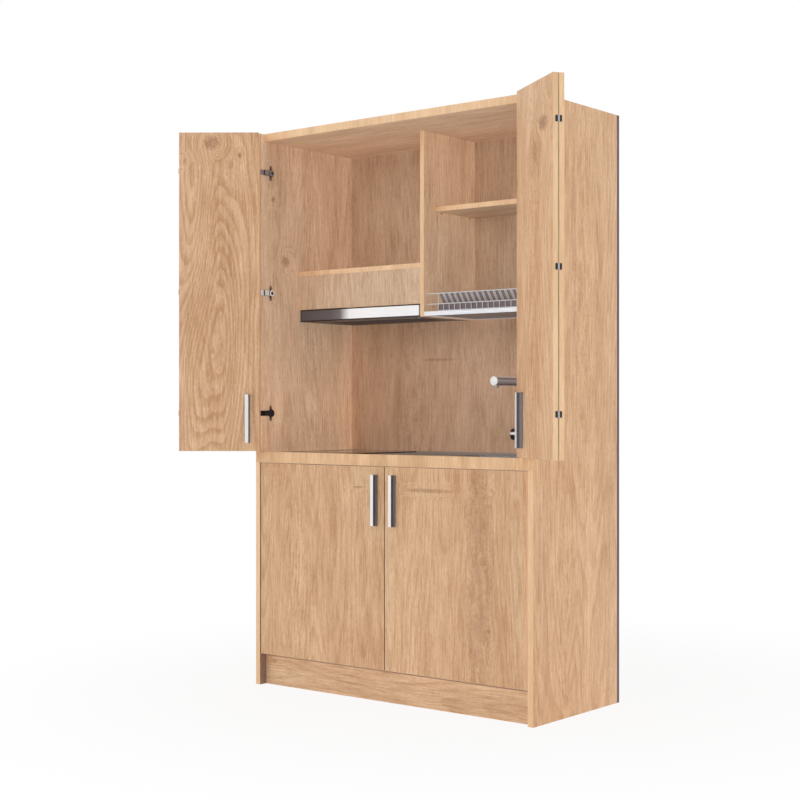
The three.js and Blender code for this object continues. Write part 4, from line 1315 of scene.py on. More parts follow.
bowl = block(inner_low, inner_high)
mark(bowl, "EDGE", running(UP, 50 * MM))
bpy.ops.mesh.bevel(offset=BOWL_CORNER, segments=10, affect="EDGES")
mark(bowl, "EDGE", lambda edge: all(v.co.z < inner_low.z + 1 * MM for v in edge.verts))
bpy.ops.mesh.bevel(offset=BOWL_FLOOR_ROUND, segments=6, affect="EDGES", profile=0.5)
mark(bowl, "FACE", facing(UP))
bpy.ops.mesh.delete(type="FACE")
leave_edit_mode()
mark(bowl, "EDGE", lambda edge: edge.is_boundary)
bpy.ops.mesh.extrude_edges_move()
wide = 1 + 2 * BOWL_FLANGE / (inner_high.x - inner_low.x)
deep = 1 + 2 * BOWL_FLANGE / (inner_high.y - inner_low.y)
bpy.ops.transform.resize(value=(wide, deep, 1))
leave_edit_mode()
mark(bowl, "FACE", lambda face: (
    abs(face.normal.z) > 0.99 and face.calc_center_median().z < inner_low.z + 1 * MM))
bpy.ops.mesh.inset(thickness=FLOOR_INSET, depth=0)
leave_edit_mode()
drain_hole = turned(
    [(DRAIN_RADIUS, -20 * MM), (DRAIN_RADIUS, 20 * MM)], (drain_x, drain_y, inner_low.z), sides=64
)
applied(bowl, "SOLIDIFY", thickness=BOWL_WALL, offset=1)
cut_by(bowl, drain_hole)
smooth(bowl, 40)
fitted(coloured(bowl, BOWL_STEEL), "pressed_bowl", "sink_bowl")
print("bowl:", [round(c, 4) for c in bowl.dimensions], "faces", len(bowl.data.polygons))

# %% [markdown]
# ## Strainer plug
# The plug of the drain is a turned piece too: a spigot, a plate that rests on the bowl's floor, and a stem to
# lift it by. Its twelve small holes are cut in one go, by a cutter that is twelve rods joined.

# %% Strainer plug
HOLE_COUNT = 12
HOLE_RADIUS = 2.6 * MM
HOLE_CIRCLE = 19 * MM
plug_low, plug_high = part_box("sink_strainer")
plug_radius = (plug_high.x - plug_low.x) / 2
spigot_depth, plate_thickness = 9 * MM, 3 * MM
seat = plug_low.z + spigot_depth
plug = turned(
    [(30 * MM, plug_low.z), (36 * MM, plug_low.z + 2 * MM), (36 * MM, seat), (plug_radius - 0.5 * MM, seat),
     (plug_radius, seat + 0.8 * MM), (plug_radius - 1 * MM, seat + 2.2 * MM),
     (plug_radius - 5 * MM, seat + plate_thickness), (32 * MM, seat + plate_thickness),
     (26 * MM, seat + 1.2 * MM), (12 * MM, seat + 1.2 * MM), (9 * MM, seat + 4 * MM),
     (5 * MM, seat + 8 * MM), (5 * MM, seat + 10 * MM), (8 * MM, plug_high.z - 3 * MM),
     (8 * MM, plug_high.z - 1.2 * MM), (6.5 * MM, plug_high.z)],
    (drain_x, drain_y, 0),
    sides=64,
)
rods = []
for i in range(HOLE_COUNT):
    angle = 2 * math.pi * i / HOLE_COUNT
    spot = (drain_x + HOLE_CIRCLE * math.cos(angle), drain_y + HOLE_CIRCLE * math.sin(angle), 0)
    rods.append(turned([(HOLE_RADIUS, plug_low.z - 5 * MM), (HOLE_RADIUS, seat + 5 * MM)], spot, sides=12))
cut_by(plug, joined(*rods))
fitted(coloured(smooth(plug), CHROME), "strainer_plug", "sink_strainer")
print("strainer plug faces:", len(plug.data.polygons))

# %% [markdown]
# ## Trap
# Under the bowl hangs a white bottle trap: a threaded nut at the drain, a tailpiece, the bottle with its cap
# nut, and the waste pipe to the wall. All are round, so all are turned. The nuts have grip ribs: every second
# face of their side is picked by its angle and moved out a little by an inset.

# %% A nut with grip ribs
RIB_HEIGHT = 0.9 * MM


def ribbed_nut(start, direction, radius, length, ribs=28):
    """A round nut whose faces alternate in and out, so that a hand can grip it."""
    nut = turned(
        [(radius * 0.9, 0), (radius, 1.5 * MM), (radius, length - 1.5 * MM), (radius * 0.9, length)],
        sides=ribs * 2,
    )
    mark(nut, "FACE", lambda face: abs(face.normal.z) < 0.1 and int(
        (math.atan2(face.normal.y, face.normal.x) + math.pi) / (math.pi / ribs)) % 2 == 0)
    bpy.ops.mesh.inset(thickness=0.3 * MM, depth=RIB_HEIGHT, use_individual=True)
    leave_edit_mode()
    nut.matrix_world = Matrix.Translation(start) @ turn_to(direction)
    return settled(nut, "nut")


print("nuts have ribs of", round(RIB_HEIGHT / MM, 1), "mm")

# %% Bottle trap
trap_low, trap_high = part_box("sink_trap")
FLANGE_RADIUS, TAILPIECE_RADIUS, BOTTLE_RADIUS, WASTE_RADIUS = 50 * MM, 20 * MM, 36 * MM, 20 * MM
flange_bottom = trap_high.z - 16 * MM
bottle_top = flange_bottom - 90 * MM
waste_level = bottle_top - 25 * MM
drain = (drain_x, drain_y, 0)
trap_parts = [
    turned(
        [(FLANGE_RADIUS - 1 * MM, flange_bottom), (FLANGE_RADIUS, flange_bottom + 1 * MM),
         (FLANGE_RADIUS, trap_high.z), (39 * MM, trap_high.z), (39 * MM, trap_high.z - 10 * MM),
         (TAILPIECE_RADIUS - 3 * MM, trap_high.z - 12 * MM)],
        drain,
    ),
    turned(
        [(TAILPIECE_RADIUS, bottle_top - 2 * MM), (TAILPIECE_RADIUS, flange_bottom + 1 * MM)],
        drain, sides=36,
    ),
    turned(
        [(BOTTLE_RADIUS * 0.7, trap_low.z), (BOTTLE_RADIUS - 2 * MM, trap_low.z + 3 * MM),
         (BOTTLE_RADIUS - 1 * MM, trap_low.z + 34 * MM), (BOTTLE_RADIUS - 2 * MM, trap_low.z + 36 * MM),
         (BOTTLE_RADIUS - 2 * MM, bottle_top - 6 * MM), (BOTTLE_RADIUS - 6 * MM, bottle_top)],
        drain,
    ),
    turned(
        [(WASTE_RADIUS, 0), (WASTE_RADIUS, trap_high.y - drain_y)],
        (drain_x, drain_y, waste_level), TO_WALL, sides=36,
    ),
    ribbed_nut((drain_x, drain_y, flange_bottom - 22 * MM), UP, 30 * MM, 22 * MM),
    ribbed_nut((drain_x, drain_y, bottle_top - 2 * MM), UP, 29 * MM, 20 * MM),
    ribbed_nut((drain_x, drain_y, trap_low.z + 4 * MM), UP, BOTTLE_RADIUS - 1.2 * MM, 26 * MM, 32),
    ribbed_nut((drain_x, drain_y + BOTTLE_RADIUS - 6 * MM, waste_level), TO_WALL, 28 * MM, 22 * MM),
]
trap = joined(*trap_parts)
fitted(coloured(smooth(trap), WHITE_PLASTIC), "bottle_trap", "sink_trap")
print("trap faces:", len(trap.data.polygons))

# %% [markdown]
# ## Mixer tap
# The tap is chrome: a body on a round base, a spout that rises from it and turns level towards the room, an
# aerator near its end, and a round knob on the left. Body and knob are turned. Chrome mirrors the dark
# niche below and the bright room above it, as bands along the knob and the spout. A real reflection would
# need the room of the photograph, so the bands are a fade along the height, part of the finish itself.

# %% Tap body
tap_low, tap_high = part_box("tap_body")
spout_low, spout_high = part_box("tap_spout")
tap_x, tap_y, _ = middle("tap_body")
base_radius = (tap_high.x - tap_low.x) / 2
body_radius, shank_radius, spout_radius = 23 * MM, 16.5 * MM, (spout_high.x - spout_low.x) / 2
base_level = glass_low.z
body_top = tap_high.z
tap_body = turned(
    [(shank_radius - 1 * MM, tap_low.z), (shank_radius, tap_low.z + 1 * MM),
     (shank_radius, base_level - 2 * MM), (base_radius - 0.6 * MM, base_level),
     (base_radius, base_level + 0.8 * MM),
     (base_radius, base_level + 4.5 * MM), (base_radius - 1.5 * MM, base_level + 6 * MM),
     (body_radius, base_level + 6.4 * MM), (body_radius, body_top - 13 * MM),
     (body_radius - 0.7 * MM, body_top - 12.6 * MM), (body_radius - 0.7 * MM, body_top - 12 * MM),
     (body_radius, body_top - 11.6 * MM), (body_radius, body_top - 2.5 * MM),
     (body_radius - 0.9 * MM, body_top - 0.8 * MM), (body_radius - 2.8 * MM, body_top),
     (spout_radius + 0.4 * MM, body_top), (spout_radius + 0.4 * MM, body_top - 1 * MM)],
    (tap_x, tap_y, 0),
    sides=64,
)
nut_level = base_level - 26 * MM
tap_body = joined(
    tap_body,
    turned([(26 * MM, nut_level), (26 * MM, nut_level + 3 * MM)], (tap_x, tap_y, 0), sides=40),
    turned([(24 * MM, nut_level - 9 * MM), (24 * MM, nut_level)], (tap_x, tap_y, 0), sides=6),
)
fitted(coloured(tap_body, CHROME), "mixer_body", "tap_body")
print("tap body faces:", len(tap_body.data.polygons))

# %% Tap knob
knob_low, knob_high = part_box("tap_knob")
knob_level, knob_radius = level_of("tap_knob"), (knob_high.z - knob_low.z) / 2
knob_reach = knob_high.x - knob_low.x
knob = turned(
    [(15 * MM, 0), (15 * MM, 7 * MM), (knob_radius - 2 * MM, 8 * MM), (knob_radius, 9.5 * MM),
     (knob_radius, 15 * MM), (knob_radius - 0.8 * MM, 15.5 * MM), (knob_radius - 0.8 * MM, 16.5 * MM),
     (knob_radius, 17 * MM), (knob_radius, knob_reach - 2.5 * MM),
     (knob_radius - 0.8 * MM, knob_reach - 0.8 * MM), (knob_radius - 2.6 * MM, knob_reach),
     (8 * MM, knob_reach), (7 * MM, knob_reach - 0.6 * MM)],
    (knob_high.x, tap_y, knob_level),
    -ACROSS,
    sides=64,
)
lever = turned(
    [(2.6 * MM, 0), (3 * MM, 1 * MM), (3 * MM, 14 * MM), (2.2 * MM, 15.5 * MM)],
    (knob_low.x + 9 * MM, tap_y, knob_level + knob_radius - 14.5 * MM),
    sides=20,
)
KNOB_CHROME = metal(
    "knob chrome", colour(255, 255, 255), 0.12, scratch=0.01, metallic=0.35, fade_axis=2,
    fade=[
        (knob_low.z, colour(46, 36, 40)),
        (knob_level - knob_radius * 0.12, colour(58, 48, 50)),
        (knob_level - knob_radius * 0.02, colour(244, 243, 245)),
        (knob_level + knob_radius * 0.30, colour(232, 230, 232)),
        (knob_level + knob_radius * 0.42, colour(70, 58, 58)),
        (knob_high.z, colour(48, 38, 42)),
    ],
)
fitted(coloured(joined(knob, lever), KNOB_CHROME), "mixer_knob", "tap_knob")
print("tap knob stands out", round(knob_reach / MM, 1), "mm")

# %% [markdown]
# ## Spout
# The spout is a bent tube. It could be a circle, extruded and turned many times over, but a curve with a
# round section follows a bend best. The curve has four points, with a quarter circle between the middle
# two. It is then made a mesh, and its end cap gets a soft edge by two small extrusions.

# %% The spout's tube
BEND_RADIUS = 22 * MM
QUARTER_CIRCLE = 0.5523  # length of the handles that make a Bezier curve a quarter of a circle of radius 1
STRAIGHT = 10 * MM  # length of the handles on its straight ends
END_CAP = 3 * MM
axis_level = spout_high.z - spout_radius
end_y = spout_low.y
bpy.ops.curve.primitive_bezier_curve_add()
path = bpy.context.object
spline = path.data.splines[0]
spline.bezier_points.add(2)
quarter = BEND_RADIUS * QUARTER_CIRCLE
corner_low, corner_high = axis_level - BEND_RADIUS, tap_y - BEND_RADIUS
points = [
    ((tap_x, tap_y, body_top - 1 * MM), (0, 0, -STRAIGHT), (0, 0, STRAIGHT)),
    ((tap_x, tap_y, corner_low), (0, 0, -STRAIGHT), (0, 0, quarter)),
    ((tap_x, corner_high, axis_level), (0, quarter, 0), (0, -STRAIGHT, 0)),
    ((tap_x, end_y + 1.6 * MM, axis_level), (0, STRAIGHT, 0), (0, -STRAIGHT, 0)),
]
for point, (spot, before, after) in zip(spline.bezier_points, points):
    point.handle_left_type = point.handle_right_type = "FREE"
    point.co = spot
    point.handle_left = Vector(spot) + Vector(before)
    point.handle_right = Vector(spot) + Vector(after)
path.data.dimensions = "3D"
path.data.resolution_u = 14
path.data.bevel_depth = spout_radius
path.data.bevel_resolution = 14
path.data.use_fill_caps = True
pick(path)
path.location = (0, 0, 0)
bpy.ops.object.convert(target="MESH")
spout = bpy.context.object
mark(spout, "FACE", lambda face: (
    face.normal.y < -0.99 and face.calc_center_median().y < end_y + END_CAP))
for step, share in ((1.0 * MM, 0.97), (0.5 * MM, 0.94)):
    bpy.ops.mesh.extrude_region_move(TRANSFORM_OT_translate={"value": (0, -step, 0)})
    bpy.ops.transform.resize(value=(share, 1, share))
leave_edit_mode()
smooth(spout, 30)
print("spout tube faces:", len(spout.data.polygons))

# %% Aerator and chrome
AERATOR_FROM_END = 17 * MM
AERATOR_RADIUS = 10 * MM
aerator_spot = (tap_x, end_y + AERATOR_FROM_END, 0)
aerator_low = axis_level - spout_radius - 7 * MM
ring = turned(
    [(AERATOR_RADIUS - 2.2 * MM, aerator_low + 1 * MM), (AERATOR_RADIUS - 1.6 * MM, aerator_low),
     (AERATOR_RADIUS - 0.5 * MM, aerator_low), (AERATOR_RADIUS, aerator_low + 0.6 * MM),
     (AERATOR_RADIUS, axis_level - spout_radius * 0.6)],
    aerator_spot,
    sides=40,
)
coloured(ring, CHROME)
INSERT_RADIUS = AERATOR_RADIUS - 3.2 * MM
insert = turned(
    [(INSERT_RADIUS, aerator_low + 0.5 * MM), (INSERT_RADIUS, aerator_low + 2 * MM)],
    aerator_spot,
    sides=32,
)
coloured(insert, AERATOR_MESH)
SPOUT_CHROME = metal(
    "spout chrome", colour(255, 255, 255), 0.12, scratch=0.01, metallic=0.2, fade_axis=2,
    fade=[
        (axis_level - spout_radius, colour(170, 166, 169)),
        (axis_level - spout_radius * 0.8, colour(76, 66, 66)),
        (axis_level - spout_radius * 0.35, colour(148, 146, 150)),
        (axis_level + spout_radius * 0.2, colour(172, 171, 177)),
        (axis_level + spout_radius * 0.6, colour(112, 104, 104)),
        (axis_level + spout_radius * 0.92, colour(250, 244, 238)),
    ],
)
coloured(spout, SPOUT_CHROME)
# the end cap gets the bright aluminium: a painted reflection of the bright room in front of it
painted(spout, ALUMINIUM, lambda face: face.normal.y < -0.3 and face.center.y < end_y + END_CAP)
whole = joined(spout, ring, insert)
fitted(whole, "mixer_spout", "tap_spout")
print("spout faces:", len(whole.data.polygons))

# %% [markdown]
# ## Extractor hood
# The hood's front is a polished steel visor that pulls out. Behind it is a casing of satin steel with a
# grease filter, a lamp cover and two push buttons in its underside, and inside are the motor and its fan
# wheel. The visor and the casing have the right shape in the frame, so their work is in the finish. The visor
# carries a painted reflection: dark on its left, where it would mirror the niche, and bright on its right,
# where it would mirror the room. The casing and the visor's underside carry painted shade that darkens
# towards the left, and a dark line runs round the visor.

# %% Steel of the hood
VISOR_LINE = 4.4 * MM
VISOR_END = 10 * MM  # where the divider is mirrored
visor_low, visor_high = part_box("hood_visor")
visor_length = visor_high.x - visor_low.x
# painted reflection along the visor: dark on the left, bright on the right, and dark again at its right end
VISOR_STEEL = metal(
    "visor steel", colour(255, 255, 255), 0.3, along=0, scratch=0.02, metallic=0.06,
    fade=[
        (visor_low.x, colour(88, 83, 86)),
        (visor_low.x + visor_length * 0.27, colour(98, 94, 97)),
        (visor_low.x + visor_length * 0.345, colour(120, 114, 116)),
        (visor_low.x + visor_length * 0.385, colour(204, 204, 207)),
        (visor_low.x + visor_length * 0.42, colour(252, 253, 255)),
        (visor_high.x - VISOR_END, colour(252, 253, 255)),
        (visor_high.x - VISOR_END * 0.95, colour(98, 94, 97)),
    ],
)
hood_low, hood_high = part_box("hood_body")
# painted shade along the casing: it darkens towards the left
SHADED_HOOD_STEEL = metal(
    "hood steel", colour(255, 255, 255), 0.4, along=0, metallic=0.25,
    fade=[
        (hood_low.x, colour(22, 18, 18)),
        (hood_low.x + 0.16, colour(56, 50, 49)),
        (hood_low.x + 0.40, colour(84, 79, 79)),
        (hood_high.x, colour(104, 100, 101)),
    ],
)
print("visor", round(visor_length, 3), "m; casing from", round(hood_low.x, 3))

# %% Visor and casing
visor = copy_of("hood_visor", "visor")
mark(visor, "FACE", facing(TO_ROOM))
bpy.ops.mesh.inset(thickness=VISOR_LINE, depth=0)
leave_edit_mode()
framed = eased(visor, 1.1 * MM, segments=3)
coloured(framed, VISOR_STEEL)
painted(framed, BLACK_METAL, lambda face: (
    face.normal.dot(TO_ROOM) > 0.5 and min(
        face.center.x - visor_low.x, visor_high.x - face.center.x, face.center.z - visor_low.z,
        visor_high.z - face.center.z) < VISOR_LINE * 0.9))
# the visor's underside gets the casing's painted shade
painted(framed, SHADED_HOOD_STEEL, facing(-UP))
fitted(framed, "visor", "hood_visor")
hood = eased(copy_of("hood_body", "hood_casing"), 0.8 * MM, shortest=5 * MM)
fitted(coloured(hood, SHADED_HOOD_STEEL), "hood_casing", "hood_body")
print("casing faces:", len(hood.data.polygons))

# %% [markdown]
# ## Grease filter
# The filter is a frame with layers of woven wire. Weaving each wire would cost many thousands of faces for
# something that hangs under the hood, so a grid with a Wireframe modifier stands for a mat. A second, thicker
# mat lies above it. The frame is a block whose top and bottom are inset and bridged into an opening.

# %% Grease filter
FILTER_RIM = 12 * MM
MAT_WIRE = 0.9 * MM
MAT_PITCH = 9 * MM
MAT_FROM_FACE = 2.2 * MM
filter_low, filter_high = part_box("grease_filter")
rim = block(filter_low, filter_high)
mark(rim, "FACE", lambda face: abs(face.normal.z) > 0.9)
bpy.ops.mesh.inset(thickness=FILTER_RIM, depth=0)
bpy.ops.mesh.bridge_edge_loops()
leave_edit_mode()
eased(rim, 0.6 * MM)
mats = []
inner = (filter_high - filter_low) - Vector((2 * FILTER_RIM, 2 * FILTER_RIM, 0))
columns, rows = int(inner.x / MAT_PITCH), int(inner.y / MAT_PITCH)
for level, thickness in (
    (filter_low.z + MAT_FROM_FACE, MAT_WIRE), (filter_high.z - MAT_FROM_FACE, MAT_WIRE * 1.5),
):
    centre = (*middle("grease_filter")[:2], level)
    bpy.ops.object.select_all(action="DESELECT")
    bpy.ops.mesh.primitive_grid_add(x_subdivisions=columns, y_subdivisions=rows, size=1, location=centre)
    mat = bpy.context.object
    mat.scale = (inner.x + 1 * MM, inner.y + 1 * MM, 1)
    mats.append(applied(settled(mat, "mat"), "WIREFRAME", thickness=thickness, use_even_offset=False))
latch = block(
    (filter_low.x + 30 * MM, filter_low.y + 2 * MM, filter_low.z - 0.6 * MM),
    (filter_low.x + 62 * MM, filter_low.y + 10 * MM, filter_low.z + 1 * MM),
)
mesh_filter = joined(rim, *mats, eased(latch, 0.5 * MM))
fitted(coloured(mesh_filter, FILTER_METAL), "filter_cassette", "grease_filter")
print("filter faces:", len(mesh_filter.data.polygons))

# %% [markdown]
# ## Lamp, buttons, motor and fan
# The lamp's cover is smoked plastic with fine ribs: its long edges are subdivided, and each face between two
# cuts is inset. The push buttons and the motor are turned. The fan wheel's blades are in the frame already,
# so it needs only soft edges.

# %% Lamp cover and buttons
LAMP_RIBS = 36
cover = block(*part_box("hood_lamp"))
mark(cover, "EDGE", running(ACROSS, 50 * MM))
bpy.ops.mesh.subdivide(number_cuts=LAMP_RIBS)
leave_edit_mode()
mark(cover, "FACE", facing(-UP))
bpy.ops.mesh.inset(thickness=0.9 * MM, depth=-0.8 * MM, use_individual=True)
leave_edit_mode()
eased(cover, 0.25 * MM, segments=1)
fitted(coloured(cover, SMOKED_PLASTIC), "lamp_cover", "hood_lamp")
for node in ("fan_button", "lamp_button"):
    low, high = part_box(node)
    radius = (high.x - low.x) / 2
    cap = turned(
        [(radius, high.z), (radius, low.z + 0.8 * MM), (radius - 0.8 * MM, low.z), (radius - 2 * MM, low.z),
         (radius - 3 * MM, low.z + 0.5 * MM)],
        (*middle(node)[:2], 0),
        sides=36,
    )
    fitted(coloured(cap, GREY_PLASTIC), f"{node}_cap", node)
print("lamp cover faces:", len(cover.data.polygons))

# %% Motor and fan wheel
fan_wheel = eased(copy_of("hood_fan", "fan_wheel"), 0.4 * MM, shortest=10 * MM, segments=1, angle=50)
fitted(coloured(fan_wheel, GREY_PLASTIC), "fan_wheel", "hood_fan")
motor_low, motor_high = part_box("hood_motor")
motor_radius, motor_height = (motor_high.x - motor_low.x) / 2, 42 * MM
motor_bottom = motor_high.z - motor_height
motor = turned(
    [(4.6 * MM, motor_low.z), (5 * MM, motor_low.z + 0.6 * MM), (5 * MM, motor_bottom - 4 * MM),
     (14 * MM, motor_bottom - 4 * MM), (14 * MM, motor_bottom), (motor_radius - 5 * MM, motor_bottom),
     (motor_radius, motor_bottom + 5 * MM), (motor_radius, motor_bottom + 14 * MM),
     (motor_radius - 2 * MM, motor_bottom + 15 * MM), (motor_radius - 2 * MM, motor_bottom + 26 * MM),
     (motor_radius, motor_bottom + 27 * MM), (motor_radius, motor_high.z - 2 * MM),
     (motor_radius - 2 * MM, motor_high.z)],
    (*middle("hood_motor")[:2], 0),
    sides=56,
)
fitted(coloured(motor, BLACK_PLASTIC), "fan_motor", "hood_motor")
print("hood dressed")

# %% [markdown]
# ## Dish drainer
# The drainer is an aluminium frame with a steel drip tray and a rack of bent wires. In the frame the rack's
# dividers are flat strips; here each is a round wire with soft bends. A bevelled curve through the wire's
# corners does that with few points, and it is then made a mesh. Sloping wires divide the slots. In each slot
# stand three steeper and thicker ones, two darker with painted shade and one paler, and a strip of painted
# shade closes the lowest part of the front.

# %% Frame and drip tray
TRAY_LIP = 1 * MM
drainer = eased(copy_of("drainer_frame", "drainer_rails"), 0.8 * MM, segments=3)
fitted(coloured(drainer, RAIL_ALUMINIUM), "drainer_rails", "drainer_frame")
TRAY_STEEL = metal("tray steel", colour(106, 106, 112), 0.4, along=0, metallic=0.1)
tray = eased(copy_of("drip_tray", "tray"), 0.8 * MM, segments=3)
tray_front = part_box("drip_tray")[0].y
coloured(tray, TRAY_STEEL)
painted(tray, RAIL_ALUMINIUM, lambda face: (
    face.center.y < tray_front + TRAY_LIP and face.normal.dot(TO_ROOM) > 0.3))
fitted(tray, "tray", "drip_tray")
print("drainer frame and tray faces:", len(drainer.data.polygons), len(tray.data.polygons))

# %% Measures of the plate rack
RACK_SLOTS = 20
RACK_SIDE_MARGIN = 53 * MM
LONG_WIRE = 2.0 * MM  # radius
SHORT_WIRE = 1.5 * MM  # radius
STEEP_WIRE = 2.2 * MM  # radius
RACK_MID = 24 * MM
RIDGE_DEPTH = 45 * MM
RIDGE_FOOT = 8 * MM
STEEP_DEPTH = 28 * MM
STEEP_SHARES = (0.28, 0.54, 0.80)  # where the steep wires stand in a slot; the last one is the paler
SLOPE_BEND = 6 * MM
STEEP_BEND = 5 * MM
BEND_STEPS = 3

rack_low, rack_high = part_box("plate_rack")
ROD_RADIUS = 2.2 * MM  # of the frame's own rods, whose middle the round wires keep
front_y, rear_y = rack_low.y + ROD_RADIUS, rack_high.y - ROD_RADIUS
base_z, top_z = rack_low.z + ROD_RADIUS, rack_high.z - ROD_RADIUS
divider_low = rack_low.x + RACK_SIDE_MARGIN
divider_high = rack_high.x - RACK_SIDE_MARGIN
slot_width = (divider_high - divider_low) / RACK_SLOTS
print("rack slots of", round(slot_width / MM, 1), "mm")


# %% A bent wire
def wire(points, radius, bend=0.0):
    """A round wire through some corners, with each inner corner cut by a short arc."""
    curve = bpy.data.curves.new("wire", "CURVE")
    curve.dimensions = "3D"
    curve.bevel_depth = radius
    curve.bevel_resolution = 2
    curve.use_fill_caps = True
    path = [Vector(points[0])]
    for before, corner, after in zip(points, points[1:], points[2:]):
        before, corner, after = Vector(before), Vector(corner), Vector(after)
        reach = min(bend, (corner - before).length / 2, (after - corner).length / 2)
        start = corner + (before - corner).normalized() * reach
        end = corner + (after - corner).normalized() * reach
        for i in range(BEND_STEPS + 1):
            share = i / BEND_STEPS
            path.append(start.lerp(corner, share).lerp(corner.lerp(end, share), share))
    path.append(Vector(points[-1]))
    spline = curve.splines.new("POLY")
    spline.points.add(len(path) - 1)
    for point, spot in zip(spline.points, path):
        point.co = (*spot, 1)
    obj = bpy.data.objects.new("wire", curve)
    bpy.context.scene.collection.objects.link(obj)
    pick(obj)
    bpy.ops.object.convert(target="MESH")
    return bpy.context.object


print("wires bend in", BEND_STEPS, "steps")

# %% Plate rack
ridge_y = front_y + RIDGE_DEPTH
side_reach = (rack_low.x, rack_high.x)
rack_reach = (divider_low - 3 * MM, divider_high + 3 * MM)
wires = [
    wire([(reach[0], y, z), (reach[1], y, z)], LONG_WIRE)
    for reach, y, z in (
        (side_reach, front_y, top_z),
        (side_reach, front_y, base_z + RACK_MID),
        (rack_reach, front_y, base_z),
        (rack_reach, ridge_y, base_z + RIDGE_FOOT),
        (rack_reach, (ridge_y + rear_y) / 2, base_z),
        (side_reach, rear_y, base_z),
    )
]
steep_y = front_y + STEEP_DEPTH
slopes, shade_wires = [], []
for i in range(RACK_SLOTS + 1):
    x = divider_low + slot_width * i
    at_end = i in (0, RACK_SLOTS)
    foot = (x, front_y, base_z - 0.4 * MM)
    wires.append(wire([foot, (x, front_y, top_z if at_end else base_z + RACK_MID)], SHORT_WIRE))
    if not at_end:
        corners = [
            (front_y, top_z), (ridge_y, base_z + RIDGE_FOOT), (ridge_y + RIDGE_FOOT, base_z), (rear_y, base_z)
        ]
        slopes.append(wire([(x, *corner) for corner in corners], SHORT_WIRE, SLOPE_BEND))
for i in range(RACK_SLOTS):
    for share in STEEP_SHARES:
        x = divider_low + slot_width * (i + share)
        corners = [(front_y + 1 * MM, top_z - 1 * MM), (steep_y, base_z + RACK_MID), (steep_y, base_z)]
        # two of the three steep wires take the darker tone of painted shade
        row = slopes if share == STEEP_SHARES[-1] else shade_wires
        row.append(wire([(x, *corner) for corner in corners], STEEP_WIRE, STEEP_BEND))
# the front strip is painted shade over the lowest part of the rack
shade_strip = block(
    (divider_low, front_y + 2.6 * MM, base_z), (divider_high, front_y + 4 * MM, base_z + RACK_MID - 2 * MM)
)
rows = ((wires, BRIGHT_WIRE), (slopes, GREY_WIRE), (shade_wires, SHADE_WIRE))
rack = joined(
    *(coloured(smooth(joined(*row), 50), material) for row, material in rows),
    coloured(eased(shade_strip, 0.4 * MM), RACK_SHADE),
)
fitted(rack, "wire_rack", "plate_rack")
print("rack faces:", len(rack.data.polygons))

# %% [markdown]
# ## Shelf pins
# The two loose shelves rest on small beige plastic pins in the panels beside them, four to a shelf. A pin is
# a small collar with a peg, turned on the lathe and laid on its side. The pins stay in the panels, so they
# ride on the cabinet and not on a shelf's node.

# %% Pins under the shelves
PIN_RADIUS = 2.5 * MM
COLLAR_RADIUS = 4 * MM
PIN_REACH = 8 * MM
PIN_FROM_EDGE = 37 * MM
PIN_PLASTIC = plastic("pin plastic", colour(198, 162, 134))
for shelf in ("right_shelf", "lower_shelf"):
    low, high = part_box(shelf)
    pins = []
    for x, side in ((low.x, 1), (high.x, -1)):
        for y in (low.y + PIN_FROM_EDGE, high.y - PIN_FROM_EDGE):
            pins.append(turned(
                [(COLLAR_RADIUS, 0), (COLLAR_RADIUS, 1 * MM), (PIN_RADIUS, 1.2 * MM),
                 (PIN_RADIUS, PIN_REACH - 0.5 * MM), (PIN_RADIUS - 0.5 * MM, PIN_REACH)],
                (x, y, low.z - COLLAR_RADIUS), ACROSS * side, sides=20,
            ))
    whole = joined(*pins)
    settled(coloured(whole, PIN_PLASTIC), f"{shelf}_pins")
    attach(whole, "root")
print("shelf pins placed")

# %% Put the masters away
masters = (SCREW, CUP, with_strap, without_strap)
for master in masters:
    bpy.data.objects.remove(master)
print("masters put away:", len(masters))

# %% [markdown]
# ## Camera
# The photograph is a studio view from the front right, with a level camera at about eye height of a seated
# person. The camera could be moved by eye until the picture fits. Here the cabinet's edges gave its place
# and its lens: they were measured in the picture, and the numbers are the best fit. A level camera keeps
# upright edges parallel, and a small shift of the lens brings the horizon to its height.

# %% Camera
CAMERA_PLACE = (3.347829, -4.626413, 1.038459)
CAMERA_TURN = math.radians(38.764)
LENS = 67.75
HORIZON_SHIFT = 0.0101

camera_data = bpy.data.cameras.new("camera")
camera_data.lens = LENS
camera_data.sensor_width = 36
camera_data.shift_y = HORIZON_SHIFT
camera = bpy.data.objects.new("camera", camera_data)
camera.location = CAMERA_PLACE
camera.rotation_euler = (math.pi / 2, 0, CAMERA_TURN)
bpy.context.scene.collection.objects.link(camera)
bpy.context.scene.camera = camera
print("camera at", CAMERA_PLACE)

# %% [markdown]
# ## Floor and light
# The light in the photograph is very even. About half of it comes from a white surround, which leaves soft
# shadows in the corners, and the rest from wide sun lamps. Only the front lamp casts full shadows. The side
# fill would brighten the gaps of the closed lower front, so the pieces of that front, and nothing else, cast
# its shadow, and the other fills cast none. The floor and the surround look white to the camera and in
# reflections, while the light that they give stays low enough for every colour to look as it is written.

# %% Floor
FLOOR_RADIUS = 30
FLOOR_WHITE_NEAR = 0.85  # how much of the floor's own white the camera sees at the cabinet's foot
FLOOR_WHITE_RISE = (0.7, 2.2)  # metres from the cabinet's foot, from where to where it rises to all


def seen_share(finish):
    """1 for rays from the camera and for reflections and refractions, and 0 for those that gather light."""
    path = finish.node("ShaderNodeLightPath").outputs
    camera_ray, mirrored, passed = (
        Number(finish, path[f"Is {kind} Ray"]) for kind in ("Camera", "Glossy", "Transmission")
    )
    return camera_ray.most(mirrored).most(passed)


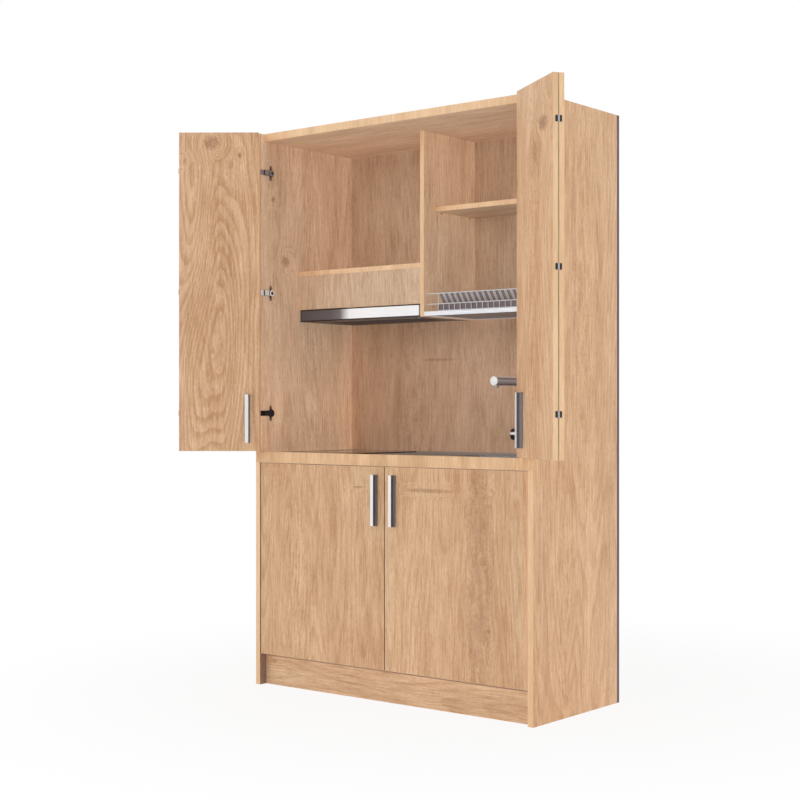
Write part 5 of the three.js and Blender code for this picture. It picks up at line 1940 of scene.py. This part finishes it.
floor_finish = new_finish("studio floor")
x, y, _ = floor_finish.place("Object")
far = (x * x + y * y).root().step(*FLOOR_WHITE_RISE)
share = seen_share(floor_finish) * (far * (1 - FLOOR_WHITE_NEAR) + FLOOR_WHITE_NEAR)
plain = floor_finish.node("ShaderNodeBsdfDiffuse", None, {"Color": (0.93, 0.93, 0.93, 1)})
white = floor_finish.node("ShaderNodeEmission", None, {"Color": (1, 1, 1, 1), "Strength": 1.0})
mixed = floor_finish.node("ShaderNodeMixShader", None, {0: share, 1: plain.outputs[0], 2: white.outputs[0]})
floor_finish.node("ShaderNodeOutputMaterial", None, {0: mixed.outputs[0]})

bpy.ops.object.select_all(action="DESELECT")
bpy.ops.mesh.primitive_circle_add(vertices=96, radius=FLOOR_RADIUS, fill_type="NGON")
floor = settled(bpy.context.object, "studio_floor")
coloured(floor, floor_finish.owner)
print("floor radius", FLOOR_RADIUS, "m")

# %% Surround
SURROUND = 0.42
surround = Finish(bpy.data.worlds.new("surround"))
bpy.context.scene.world = surround.owner
strength = seen_share(surround) * (1 - SURROUND) + SURROUND
sky = surround.node("ShaderNodeBackground", None, {"Color": (1, 1, 1, 1), "Strength": strength})
surround.node("ShaderNodeOutputWorld", None, {0: sky.outputs[0]})
print("surround's strength", SURROUND)

# %% Lamps
LAMPS = {  # where the light comes from, its strength, and what casts its shadows
    "front lamp": ((-0.30, -0.95, 0.05), 0.60, "all"),
    "front fill": ((-0.30, -0.95, 0.05), 0.98, "nothing"),
    "side fill": ((0.95, 0.30, 0.0), 1.46, "closed front"),
    "low fill": ((0.05, -0.20, -0.98), 0.75, "nothing"),
    "high fill": ((0.05, -0.10, 0.99), 0.70, "nothing"),
    "rear fill": ((-0.70, 0.70, 0.0), 0.50, "nothing"),
}
LAMP_WIDTH = math.radians(60)
CLOSED_FRONT = ("lower_left_door", "lower_right_door", "plinth", "front_rail", "bottom_panel")

closed_front = bpy.data.collections.new("closed front")
for piece in bpy.context.scene.objects:
    if piece.name.startswith(CLOSED_FRONT):
        closed_front.objects.link(piece)
for name, (source, power, shadows) in LAMPS.items():
    lamp_data = bpy.data.lights.new(name, "SUN")
    lamp_data.energy = power
    lamp_data.angle = LAMP_WIDTH
    lamp_data.use_shadow = shadows != "nothing"
    lamp = bpy.data.objects.new(name, lamp_data)
    lamp.rotation_euler = Vector(source).to_track_quat("Z", "Y").to_euler()
    lamp.visible_glossy = False
    if shadows == "closed front":
        lamp.light_linking.blocker_collection = closed_front
    bpy.context.scene.collection.objects.link(lamp)

bpy.context.scene.view_settings.view_transform = "Standard"
